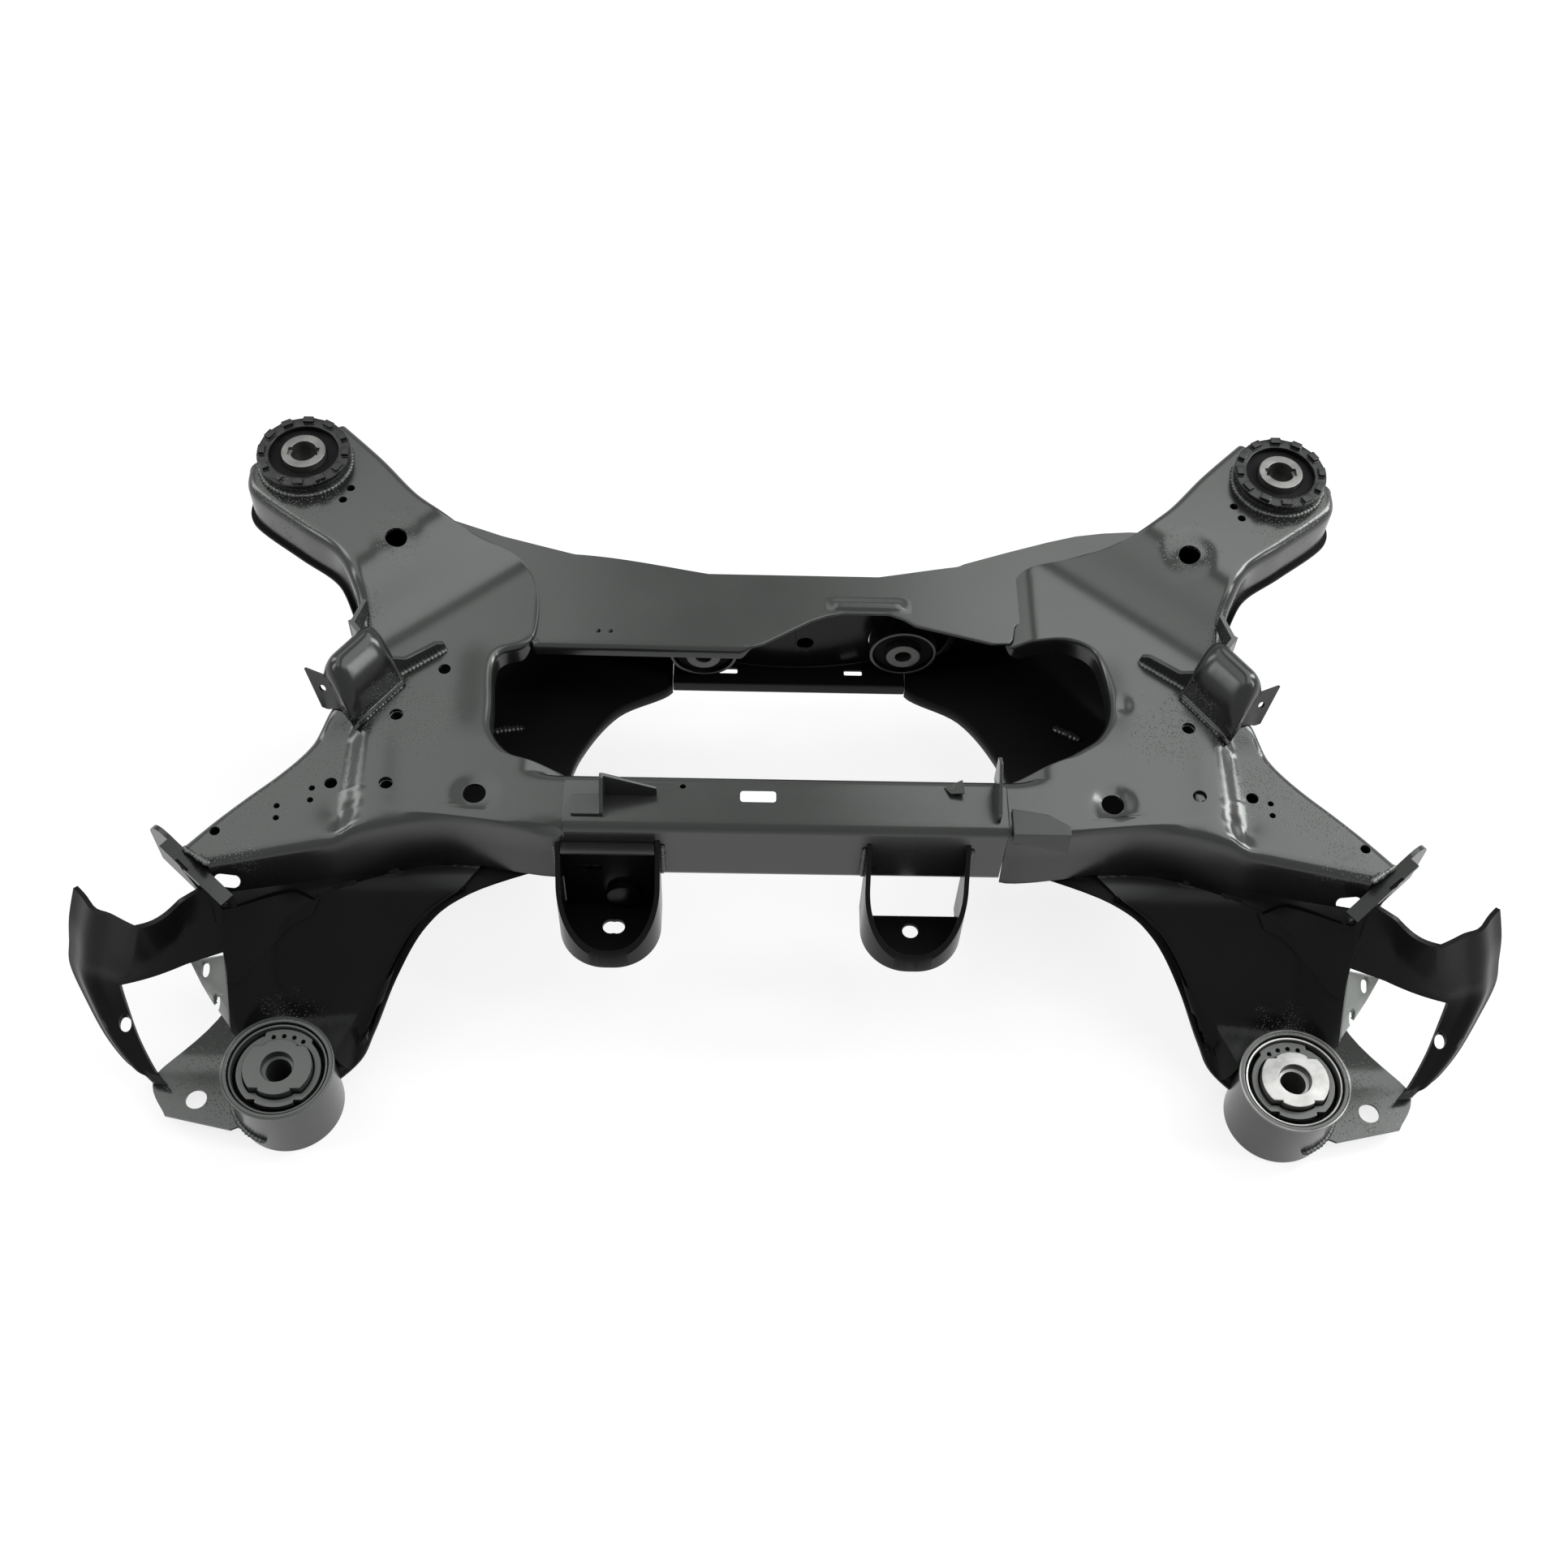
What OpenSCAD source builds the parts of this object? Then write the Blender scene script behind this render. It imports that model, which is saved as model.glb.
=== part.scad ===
// Rear suspension subframe. Two stamped side members are joined by a tube near the
// viewer and an open channel at the far side. Four body-mount bushes, two axle-housing
// bushes and the link brackets hang on them.
// Millimetres. +X across, +Y from the near mounts to the far mounts, +Z up.
// The origin lies midway between the near mount axes, on their lower seats.

/* [Layout] */
// Distance between the two near body-mount axes
near_span = 804; // [780:1:830]
// Distance along Y from the near mounts to the far mounts
mount_run = 479; // [462:1:496]
// Height of the deck above the near seats
deck_h = 200; // [192:1:212]
// Rise of the far arms above the deck
arm_rise = 38; // [30:1:44]
// Depth of the far arms from top skin to lower skin
arm_depth = 42; // [38:1:50]
// Height of the lower skin at mid length
floor_h = 80; // [74:1:90]
// Height of the lower skin at the near seats
seat_h = 16; // [12:1:20]

/* [Sheet] */
// Thickness of the stamped skins
sheet_t = 3; // [2.4:0.1:3.6]
// Thickness of the bracket plates
plate_t = 4; // [3:0.1:5]
// Radius of the folded outer edges
fold_r = 9; // [7:0.5:11]
// Radius of the opening lips
lip_r = 6; // [5:0.5:7]
// Height of the step between deck and outer shelf
shelf_drop = 10; // [6:0.5:13]

/* [Near crossmember] */
// Size of the near tube along Y
tube_d = 50; // [44:1:54]
// Height of the near tube
tube_h = 75; // [66:1:80]
// Corner radius of the near tube
tube_r = 9; // [7:0.5:12]

/* [Far crossmember] */
// Depth of the far top panel from lip to rear wall at the middle
channel_d = 72; // [64:1:76]
// Depth of the rolled lip of the far top panel
roll_h = 12; // [8:1:16]
// Offset of the left axle bush from the middle
axle_left_x = 76; // [68:1:84]
// Offset of the right axle bush from the middle
axle_right_x = 99; // [92:1:106]
// Height of the axle bush centres above the lower skin
axle_rise = 35; // [33:1:40]
// Outer radius of the axle bushes
axle_r = 29.5; // [27:0.5:31]
// Length of the axle bushes
axle_len = 46; // [40:1:52]

/* [Near body mounts] */
// Outer radius of the near sleeves
near_r = 42.5; // [40:0.5:43.5]
// Height of the near sleeves
near_h = 66; // [62:1:70]
// Wall of the near sleeves
near_wall = 3; // [2:0.1:3.5]
// Radius of the near cores
core_r = 21; // [19:0.5:23]
// Bore radius of the near cores
core_bore_r = 10; // [8:0.1:11]

/* [Far body mounts] */
// Outer radius of the far sleeves
far_r = 36; // [34:0.5:38]
// Wall of the far sleeves
far_wall_t = 3; // [2:0.1:3.5]
// Radius of the far inner sleeves
far_core_r = 18.5; // [17:0.5:20]
// Bore radius of the far inner sleeves
far_bore_r = 11; // [9:0.1:12]
// Teeth on each toothed ring
ring_teeth = 12; // [10:1:14]

/* [Brackets] */
// Width of the two hangers
hanger_w = 82; // [76:1:88]
// Reach of the hangers in front of the near tube
hanger_reach = 60; // [54:1:66]
// Height of the hanger floors
hanger_z = 82; // [76:1:90]
// Width of the saddle brackets
saddle_w = 44; // [40:1:46]
// Height of the saddle brackets over the deck
saddle_h = 42; // [36:1:46]

/* [Hidden] */
// Height of the axle bush centres
axle_z = floor_h + axle_rise;

gap = 0.3;
sx = near_span / 804;
sy = mount_run / 479;
near_x = near_span / 2;
far_x = 414 * sx;
far_y = mount_run;
arm_z = deck_h + arm_rise;
tube_z0 = deck_h - tube_h;
tube_y0 = 144 * sy;
tube_y1 = tube_y0 + tube_d;
tube_x0 = -180 * sx;
tube_x1 = 166 * sx;
panel_z = deck_h - sheet_t - gap;
collar_z = 50;
black = [0.11, 0.12, 0.12];
dark = [0.05, 0.05, 0.05];
steel = [0.55, 0.56, 0.56];

function smooth(t) = let (c = max(0, min(1, t))) c * c * (3 - 2 * c);
function mixv(a, b, t) = a + (b - a) * t;
function unit(v) = v / max(1e-9, norm(v));
function bend(a, b, c, d, t) =
  0.5 * (2 * b + (c - a) * t + (2 * a - 5 * b + 4 * c - d) * t * t + (3 * b - a - 3 * c + d) * t * t * t);
function along(l, s) =
  let (n = len(l), i = max(0, min(n - 2, floor(s))), t = s - i)
  bend(l[max(0, i - 1)], l[i], l[i + 1], l[min(n - 1, i + 2)], t);
function straight(l, s) =
  let (n = len(l), i = max(0, min(n - 2, floor(s))))
  mixv(l[i], l[i + 1], s - i);
function seat(p, z) = [p[0] * sx, p[1] * sy, z];
// The edge that meets the tube is straight, the rest is curved
function rim(l, s) = s >= 11 && s <= 12 ? straight(l, s) : along(l, s);

// Height of the deck and of the lower skin over a plan point
function arm_a(p) = (p[0] - 298) * 0.66 + (p[1] - 364) * 0.75;
function z_deck(p) =
  deck_h + arm_rise * smooth((arm_a(p) + 14) / 54)
  - shelf_drop * smooth((p[0] - 337) / 20) * smooth((252 - p[1]) / 28);
function z_floor(p) =
  floor_h + (arm_z - arm_depth - floor_h) * smooth((arm_a(p) + 45) / 110)
  + (tube_z0 - gap - floor_h) * smooth((262 - p[1]) / 60)
  - (tube_z0 - gap - seat_h) * smooth((150 - p[1]) / (130 + 20 * smooth((450 - p[0]) / 60)));
function y_far(x) = 392 + 27 * smooth(abs(x) / 200);

// Outer edge of each side member, from the far mount to the near corner
outer_edge = [
  [462, 473], [456, 447], [414, 412], [380, 386], [362, 357], [357, 340], [355, 322], [357, 300],
  [364, 275], [373, 250], [385, 225], [395, 210], [410, 193], [430, 173], [450, 152], [470, 129]
];
// Inner edge of the top skins at the same places
inner_left = [
  [386, 524], [350, 487], [314, 446], [276, 419], [233, 408], [215, 372], [217, 326], [243, 308],
  [243, 264], [240, 232], [221, 210], [180.4, 196], [180.4, 145], [282, 150], [361, 131], [448, 111.5]
];
inner_right = [
  [386, 524], [350, 487], [314, 446], [276, 419], [204, 412], [177, 372], [178, 328], [226, 322],
  [252, 272], [240, 232], [212, 210], [167, 196], [167, 145], [282, 150], [361, 131], [448, 111.5]
];
// Share of turned-down lip and its depth at each place
lip_share = [1, 1, 1, 0, 0, 0, 0, 1, 1, 1, 1, 1, 1, 1, 1, 1];
lip_depth = [80, 80, 80, 60, 2, 2, 2, 10, 12, 12, 12, 14, 40, 50, 46, 40];

function top_profile(inner, s, dense) =
  let (
    o = along(outer_edge, s),
    c = rim(inner, s),
    f = straight(lip_share, s),
    d = norm(c - o),
    e = (c - o) / d,
    z1 = z_deck(o + e * fold_r),
    z2 = z_deck(c - e * lip_r),
    low = max(z_floor(c) + gap, z2 - lip_r - straight(lip_depth, s))
  )
  concat(
    [seat(o, z_floor(o) + 1.5 * gap)],
    [for (a = [0 : 30 : 90]) seat(o + e * fold_r * (1 - cos(a)), z1 - fold_r + fold_r * sin(a))],
    [for (k = [1 : dense])
      let (q = o + e * (fold_r + (d - fold_r - lip_r) * k / (dense + 1))) seat(q, z_deck(q))],
    [for (a = [0 : 30 : 90])
      seat(c - e * lip_r * (1 - sin(a)), z2 - f * lip_r * (1 - cos(a)))],
    [seat(c + e * 1.5 * (1 - f), z2 - f * (z2 - low))]
  );

// Inner edge of the lower skins, with three more places round the near mount
floor_outer = concat(outer_edge, [[455, 102], [448, 66], [506, 16], [494, -20]]);
floor_inner = [
  [386, 524], [350, 487], [314, 446], [276, 417], [224, 420], [107, 403], [103, 369], [150, 341],
  [180, 296], [190, 256], [188, 224], [174, 202], [174, 166], [262, 130], [296, 108], [321, 77],
  [339, 46], [354, 24], [400, -8], [448, -30]
];
rim_share = [0, 0, 0, 0, 0, 0, 1, 1, 1, 1, 1, 0, 0, 0, 0, 0, 0, 0, 0, 0];

function floor_profile(s) =
  let (
    o = along(floor_outer, s),
    c = s >= 5 && s <= 6 ? straight(floor_inner, s) : along(floor_inner, s),
    f = straight(rim_share, s),
    d = norm(c - o),
    e = (c - o) / d
  )
  concat(
    [for (q = [o - e * 4, o, o + e * 5]) seat(q, z_floor(q))],
    [for (k = [1 : 4]) let (q = o + e * (5 + (d - 10) * k / 5)) seat(q, z_floor(q))],
    [for (q = [c - e * 5, c]) seat(q, z_floor(q))],
    [seat(c + e * 4 * (1 - f), z_floor(c) - 12 * f)]
  );

// Sheet between a grid of points and the same grid moved in by the sheet thickness
function grid_normal(g, i, j) =
  let (
    n = len(g),
    m = len(g[0]),
    du = g[min(n - 1, i + 1)][j] - g[max(0, i - 1)][j],
    dv = g[i][min(m - 1, j + 1)] - g[i][max(0, j - 1)]
  )
  unit(cross(dv, du));

module sheet(g, t, on_floor = false) {
  n = len(g);
  m = len(g[0]);
  h = n * m;
  back = [for (i = [0 : n - 1]) [for (j = [0 : m - 1])
    let (p = g[i][j] - t * grid_normal(g, i, j))
    on_floor && j == 0 ? [p[0], p[1], z_floor([p[0] / sx, p[1] / sy]) + 2 * gap] : p]];
  polyhedron(
    points = concat([for (r = g) for (p = r) p], [for (r = back) for (p = r) p]),
    faces = concat(
      [for (i = [0 : n - 2]) for (j = [0 : m - 2]) [i * m + j, i * m + m + j, i * m + m + j + 1]],
      [for (i = [0 : n - 2]) for (j = [0 : m - 2]) [i * m + j, i * m + m + j + 1, i * m + j + 1]],
      [for (i = [0 : n - 2]) for (j = [0 : m - 2])
        [h + i * m + j, h + i * m + m + j + 1, h + i * m + m + j]],
      [for (i = [0 : n - 2]) for (j = [0 : m - 2])
        [h + i * m + j, h + i * m + j + 1, h + i * m + m + j + 1]],
      [for (i = [0 : n - 2]) [i * m + m, i * m, h + i * m]],
      [for (i = [0 : n - 2]) [i * m + m, h + i * m, h + i * m + m]],
      [for (i = [0 : n - 2]) [i * m + m - 1, i * m + 2 * m - 1, h + i * m + 2 * m - 1]],
      [for (i = [0 : n - 2]) [i * m + m - 1, h + i * m + 2 * m - 1, h + i * m + m - 1]],
      [for (j = [0 : m - 2]) [j, j + 1, h + j + 1]],
      [for (j = [0 : m - 2]) [j, h + j + 1, h + j]],
      [for (j = [0 : m - 2]) [h - m + j + 1, h - m + j, 2 * h - m + j]],
      [for (j = [0 : m - 2]) [h - m + j + 1, 2 * h - m + j, 2 * h - m + j + 1]]
    )
  );
}

module pin(p, r, z0, z1) {
  translate([p[0] * sx, p[1] * sy, z0])
    cylinder(r = r, h = z1 - z0, $fn = 48);
}

// Holes through both top skins, as plan point and radius
top_holes = [
  [[330, 400], 9], [[373, 451], 3.5], [[378, 438], 3.5],
  [[318, 246], 5.5], [[319, 180], 5.5], [[250, 173], 9],
  [[364, 186], 5], [[378, 181], 2.5], [[378, 170], 2.5], [[447, 140], 4]
];
left_holes = [[[284, 292], 5], [[403, 164], 2.5], [[402, 153], 2.5]];

module top_skin(inner, more) {
  n = 45;
  difference() {
    sheet([for (k = [0 : n]) top_profile(inner, 15 * k / n, 6)], sheet_t, true);
    translate([far_x, far_y, arm_z - 80])
      cylinder(r = far_r + gap, h = 120, $fn = 72);
    for (q = concat(top_holes, more))
      pin(q[0], q[1], deck_h - 40, arm_z + 20);
  }
}

module side_top_left() {
  color(black)
    mirror([1, 0, 0])
      top_skin(inner_left, left_holes);
}

module side_top_right() {
  color(black)
    top_skin(inner_right, []);
}

module floor_skin(oblong) {
  n = 57;
  difference() {
    sheet([for (k = [0 : n]) floor_profile(19 * k / n)], sheet_t);
    translate([far_x, far_y, arm_z - 100])
      cylinder(r = far_r + gap, h = 120, $fn = 72);
    translate([near_x, 0, -20])
      cylinder(r = near_r + gap, h = 90, $fn = 72);
    for (k = [0, oblong])
      translate([475 * sx + k, -5 * sy, -20])
        cylinder(r = 8.5, h = 90, $fn = 40);
    translate([0, 0, floor_h - 30])
      linear_extrude(deck_h)
        rear_band(-sheet_t - 2 * gap, 30, 212);
  }
}

module side_floor_left() {
  color(black)
    mirror([1, 0, 0])
      floor_skin(4);
}

module side_floor_right() {
  color(black)
    floor_skin(0);
}

// Heights of the fork and leg plates follow the deck above and the seat below
function lift(p) =
  let (t = max(0, min(1, (p[2] - 20) / 140)))
  [p[0] * sx, p[1] * sy, p[2] + (deck_h - 200) * t + (seat_h - 16 + plate_t - 4) * (1 - t)];

// Front legs, swept from the front edge of the deck down to the near sleeves
leg_ribs = [
  [14.98, 447, 38, 0], [14.7, 435, 30, 0], [14.4, 424, 37, 0], [14.05, 410, 42, 0], [13.75, 394, 42, 0],
  [13.5, 376, 34, 0], [13.3, 363, 18, 0], [13.18, 352, 18, 1], [13.05, 339, 44, 1], [12.95, 323, 75, 1],
  [12.85, 298, 106, 1], [12.7, 266, 128, 1]
];

function leg_profile(k) =
  let (
    r = along(leg_ribs, k),
    s = r[0],
    c = along(inner_left, s),
    q = along(inner_left, min(15, s + 0.05)) - along(inner_left, s - 0.05),
    nrm = unit([q[1], -q[0]]),
    e = unit(c - along(outer_edge, s)),
    z2 = z_deck(c - e * lip_r),
    low = max(z_floor(c) + gap, z2 - lip_r - straight(lip_depth, s)),
    a = seat(c - nrm * (sheet_t + 0.5), low + 10),
    b = [a[0], a[1], low - 3],
    m = max(0, min(1, straight(leg_ribs, k)[3])),
    f = [r[1], r[2]],
    zd = mixv(collar_z, z_floor(f) + sheet_t + gap, m),
    d = seat(f, min(zd, low - 8)),
    h = b[2] - d[2],
    w = [b[0] - d[0], b[1] - d[1], 0],
    hollow = smooth(k / 3.5),
    b1 = mixv(b + (d - b) / 3, b - [0, 0, 0.6 * h], hollow),
    d1 = mixv(d - (d - b) / 3, d + 0.45 * w, hollow)
  )
  concat(
    [a],
    [for (t = [0 : 0.125 : 1])
      let (
        p = pow(1 - t, 3) * b + 3 * t * pow(1 - t, 2) * b1 + 3 * t * t * (1 - t) * d1 + pow(t, 3) * d,
        q = [p[0] / sx, p[1] / sy],
        v = [z_floor(q + [1, 0]) - z_floor(q), z_floor(q + [0, 1]) - z_floor(q), 1],
        g = z_floor(q) + (sheet_t + 0.6) * norm(v)
      )
      [p[0], p[1], max(p[2], g)]]
  );

module leg() {
  n = 22;
  difference() {
    sheet([for (k = [0 : n]) leg_profile(11 * (n - k) / n)], sheet_t);
    translate([near_x, 0, -20])
      cylinder(r = near_r + gap, h = 200, $fn = 72);
    translate([near_x, 0, near_h - 4])
      cylinder(r = near_r + 1.6 + gap, h = 60, $fn = 72);
  }
}

module leg_left() {
  color(black)
    mirror([1, 0, 0])
      leg();
}

module leg_right() {
  color(black)
    leg();
}

// Cheek plates that close the outer side of each leg
cheek_out = [[481, 86, 78], [474, 75, 60], [466, 65, 46]];
cheek_in = [[448.3, 82, 97], [448.1, 61, 71], [447.9, 42, 48]];

module leg_cheek() {
  difference() {
    sheet([for (k = [0 : 4]) [for (j = [0 : 2])
      lift(mixv(along(cheek_out, k / 2), along(cheek_in, k / 2), j / 2))]], plate_t - 1);
    for (q = [[468, 80, 82], [461, 62, 56]])
      translate(lift(q) - [0, 0, 30])
        cylinder(r = 4, h = 60, $fn = 32);
  }
}

module leg_cheek_left() {
  color(black)
    mirror([1, 0, 0])
      leg_cheek();
}

module leg_cheek_right() {
  color(black)
    leg_cheek();
}

// Near tube, drawn as a rounded box section run along X
module round_box(w, h, r) {
  translate([r, 0])
    square([w - 2 * r, h]);
  translate([0, r])
    square([w, h - 2 * r]);
  for (x = [r, w - r])
    for (y = [r, h - r])
      translate([x, y])
        circle(r = r, $fn = 48);
}

module near_crossmember() {
  color(black)
    difference() {
      translate([tube_x0, tube_y0, tube_z0])
        rotate([90, 0, 90])
          linear_extrude(tube_x1 - tube_x0)
            difference() {
              round_box(tube_d, tube_h, tube_r);
              translate([sheet_t, sheet_t])
                round_box(tube_d - 2 * sheet_t, tube_h - 2 * sheet_t, tube_r - sheet_t);
            }
      translate([-88 * sx, tube_y1 - 12, deck_h - 10])
        cylinder(r = 2.5, h = 20, $fn = 32);
    }
}

// Far channel: plan band that follows the rear edge
// Strip of lower skin along the foot of the rear wall, with a straight near edge
module rear_strip(inset) {
  h = 103 - gap / sx;
  polygon(concat(
    [[h * sx, 369 * sy], [-h * sx, 369 * sy]],
    [for (x = [-h : h / 6 : h + 1]) [x * sx, y_far(x) * sy - inset]]
  ));
}

module rear_band(a, b, half) {
  polygon(concat(
    [for (x = [-half : half / 12 : half + 1]) [x * sx, y_far(x) * sy + a]],
    [for (x = [half : -half / 12 : -half - 1]) [x * sx, y_far(x) * sy + b]]
  ));
}

lip_y = 392 * sy - channel_d;

module far_top_panel() {
  color(black) {
    translate([0, 0, panel_z - sheet_t])
      linear_extrude(sheet_t)
        difference() {
          polygon(concat(
            [[-236 * sx, lip_y + 16], [-222 * sx, lip_y + 16], [-216 * sx, lip_y + roll_r]],
            [[-40 * sx, lip_y + roll_r], [-24 * sx, lip_y + 10], [14 * sx, lip_y + 31], [28 * sx, lip_y + 37]],
            [[41 * sx, lip_y + 40], [80 * sx, lip_y + 40], [92 * sx, lip_y + 35], [102 * sx, lip_y + 28]],
            [[135 * sx, lip_y + 19], [164 * sx, lip_y + 9], [172 * sx, lip_y + 16], [236 * sx, lip_y + 16]],
            [for (x = [236 : -236 / 12 : -237]) [x * sx, y_far(x) * sy]]
          ));
          for (x = [-162, -152])
            translate([x * sx, lip_y + 17])
              circle(r = 2, $fn = 24);
        }
    translate([-216 * sx, lip_y, panel_z])
      rotate([90, 0, 90])
        linear_extrude(176 * sx)
          polygon(concat(
            [for (a = [0 : 15 : 90]) [roll_r * (1 - sin(a)), roll_r * (cos(a) - 1)]],
            [[0, -roll_h], [sheet_t, -roll_h]],
            [for (a = [90 : -15 : 0])
              [roll_r - (roll_r - sheet_t) * sin(a), (roll_r - sheet_t) * cos(a) - roll_r]]
          ));
    translate([0, 0, panel_z - 0.5])
      linear_extrude(3.5)
        polygon([
          [30 * sx, lip_y + 43], [92 * sx, lip_y + 43], [86 * sx, lip_y + 52], [38 * sx, lip_y + 52]
        ]);
  }
}

roll_r = 7;

module far_rear_wall() {
  color(black)
    difference() {
      union() {
        translate([0, 0, floor_h])
          linear_extrude(panel_z - sheet_t - gap - floor_h)
            rear_band(-sheet_t, 0, 210);
        translate([0, 0, floor_h])
          linear_extrude(sheet_t)
            difference() {
              rear_strip(sheet_t / 2);
              for (x = [-54, 57])
                translate([x * sx - 8, 381 * sy])
                  square([16, 6]);
            }
        translate([gap - 103 * sx, 369 * sy, floor_h - 9])
          cube([206 * sx - 2 * gap, sheet_t, 9 + sheet_t / 2]);
      }
      for (x = [-axle_left_x, axle_right_x])
        translate([x, 300 * sy, axle_z])
          rotate([-90, 0, 0])
            cylinder(r = axle_r + gap, h = 200, $fn = 64);
      translate([13 * sx, 300 * sy, axle_z + 2])
        rotate([-90, 0, 0])
          cylinder(r = 7, h = 200, $fn = 40);
    }
}

module axle_tube(x, r1, r2, len) {
  translate([x, y_far(x / sx) * sy - sheet_t / 2 - len / 2, axle_z])
    rotate([-90, 0, 0])
      difference() {
        cylinder(r = r1, h = len, $fn = 64);
        translate([0, 0, -1])
          cylinder(r = r2, h = len + 2, $fn = 64);
      }
}

module axle_sleeve_left() {
  color(steel)
    axle_tube(-axle_left_x, axle_r, axle_r - 3, axle_len);
}

module axle_sleeve_right() {
  color(steel)
    axle_tube(axle_right_x, axle_r, axle_r - 3, axle_len);
}

module axle_rubber_left() {
  color(dark)
    axle_tube(-axle_left_x, axle_r - 3 - gap, 15 + gap, axle_len - 8);
}

module axle_rubber_right() {
  color(dark)
    axle_tube(axle_right_x, axle_r - 3 - gap, 15 + gap, axle_len - 8);
}

module axle_core_left() {
  color(steel)
    axle_tube(-axle_left_x, 15, 7, axle_len + 6);
}

module axle_core_right() {
  color(steel)
    axle_tube(axle_right_x, 15, 7, axle_len + 6);
}

// Near body mounts
module near_sleeve() {
  translate([near_x, 0, 0])
    difference() {
      union() {
        cylinder(r = near_r, h = near_h, $fn = 72);
        translate([0, 0, near_h - 3])
          cylinder(r = near_r + 1.6, h = 3, $fn = 72);
      }
      translate([0, 0, -1])
        cylinder(r = near_r - near_wall, h = near_h + 2, $fn = 72);
    }
}

module near_rubber() {
  translate([near_x, 0, 5])
    difference() {
      cylinder(r = near_r - near_wall - gap, h = near_h - 15, $fn = 72);
      translate([0, 0, -1])
        cylinder(r = core_r + gap, h = near_h, $fn = 64);
      translate([0, 0, near_h - 21])
        difference() {
          cylinder(r = near_r - near_wall - 3, h = 10, $fn = 72);
          translate([0, 0, -1])
            cylinder(r = core_r + 8, h = 12, $fn = 64);
        }
    }
}

// Plan of the core's head: a barrel with a low lobe at the middle of its long sides
module core_plan(m) {
  intersection() {
    circle(r = core_r + 6 + m, $fn = 72);
    square([2 * core_r + 20, core_r * 1.76 + 2 * m], center = true);
  }
  intersection() {
    circle(r = core_r + 3 + m, $fn = 72);
    square([core_r * 1.2 + 2 * m, 2 * core_r + 20], center = true);
  }
}

module limiter_plan() {
  r = core_r + 12;
  intersection() {
    circle(r = r, $fn = 72);
    translate([-r - 1, -r * 0.76])
      square([2 * r + 2, r * 1.64]);
  }
  intersection() {
    circle(r = r - 1.5, $fn = 72);
    square([r * 0.9, 3 * r], center = true);
  }
  intersection() {
    circle(r = r + 2.5, $fn = 72);
    rotate(9)
      translate([-19, 0])
        square([38, 2 * r]);
  }
}

module near_limiter() {
  translate([near_x, 0, near_h - 10 + gap])
    linear_extrude(5)
      difference() {
        limiter_plan();
        core_plan(1.2);
        for (a = [66, 82, 98, 114])
          rotate(a + 9)
            translate([core_r + 8.6, 0])
              circle(r = 1.8, $fn = 24);
      }
}

module near_core() {
  translate([near_x, 0, 0])
    difference() {
      union() {
        cylinder(r = core_r, h = near_h - 5, $fn = 64);
        translate([0, 0, near_h - 6])
          linear_extrude(8)
            core_plan(0);
      }
      translate([0, 0, -1])
        cylinder(r = core_bore_r, h = near_h + 4, $fn = 48);
      translate([0, 0, near_h - 6])
        cylinder(r = core_bore_r + 2.8, h = 10, $fn = 48);
    }
}

module near_sleeve_left() {
  color(steel)
    mirror([1, 0, 0])
      near_sleeve();
}

module near_sleeve_right() {
  color(steel)
    near_sleeve();
}

module near_rubber_left() {
  color(dark)
    mirror([1, 0, 0])
      near_rubber();
}

module near_rubber_right() {
  color(dark)
    near_rubber();
}

module near_limiter_left() {
  color(steel)
    mirror([1, 0, 0])
      near_limiter();
}

module near_limiter_right() {
  color(steel)
    near_limiter();
}

module near_core_left() {
  color(steel)
    mirror([1, 0, 0])
      near_core();
}

module near_core_right() {
  color(steel)
    near_core();
}

// Far body mounts
far_z0 = arm_z - arm_depth - 8;
far_z1 = arm_z + 9;

module far_tube(r1, r2, z0, z1) {
  translate([far_x, far_y, z0])
    difference() {
      cylinder(r = r1, h = z1 - z0, $fn = 64);
      translate([0, 0, -1])
        cylinder(r = r2, h = z1 - z0 + 2, $fn = 64);
    }
}

module far_ring() {
  far_tube(far_r + 3, far_r - far_wall_t - 4, far_z1 + gap, far_z1 + 4);
  for (k = [0 : ring_teeth - 1])
    translate([far_x, far_y, far_z1 + 3.5])
      rotate([0, 0, k * 360 / ring_teeth])
        translate([far_r - 4, -4.5, 0])
          cube([6, 9, 3.5]);
}

module far_core() {
  translate([far_x, far_y, far_z0 - 4])
    difference() {
      cylinder(r = far_core_r, h = far_z1 - far_z0 + 9, $fn = 64);
      translate([0, 0, -1])
        cylinder(r = far_bore_r, h = 120, $fn = 48);
      translate([-far_bore_r - 2, -4, far_z1 - far_z0 + 5])
        cube([2 * far_bore_r + 4, 8, 10]);
    }
}

module far_sleeve_left() {
  color(black)
    mirror([1, 0, 0])
      far_tube(far_r, far_r - far_wall_t, far_z0, far_z1);
}

module far_sleeve_right() {
  color(black)
    far_tube(far_r, far_r - far_wall_t, far_z0, far_z1);
}

module far_rubber_left() {
  color(dark)
    mirror([1, 0, 0])
      far_tube(far_r - far_wall_t - gap, far_core_r + gap, far_z0 + 4, far_z1 - 1);
}

module far_rubber_right() {
  color(dark)
    far_tube(far_r - far_wall_t - gap, far_core_r + gap, far_z0 + 4, far_z1 - 1);
}

module far_ring_left() {
  color(dark)
    mirror([1, 0, 0])
      far_ring();
}

module far_ring_right() {
  color(dark)
    far_ring();
}

module far_core_left() {
  color(steel)
    mirror([1, 0, 0])
      far_core();
}

module far_core_right() {
  color(steel)
    far_core();
}

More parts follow.
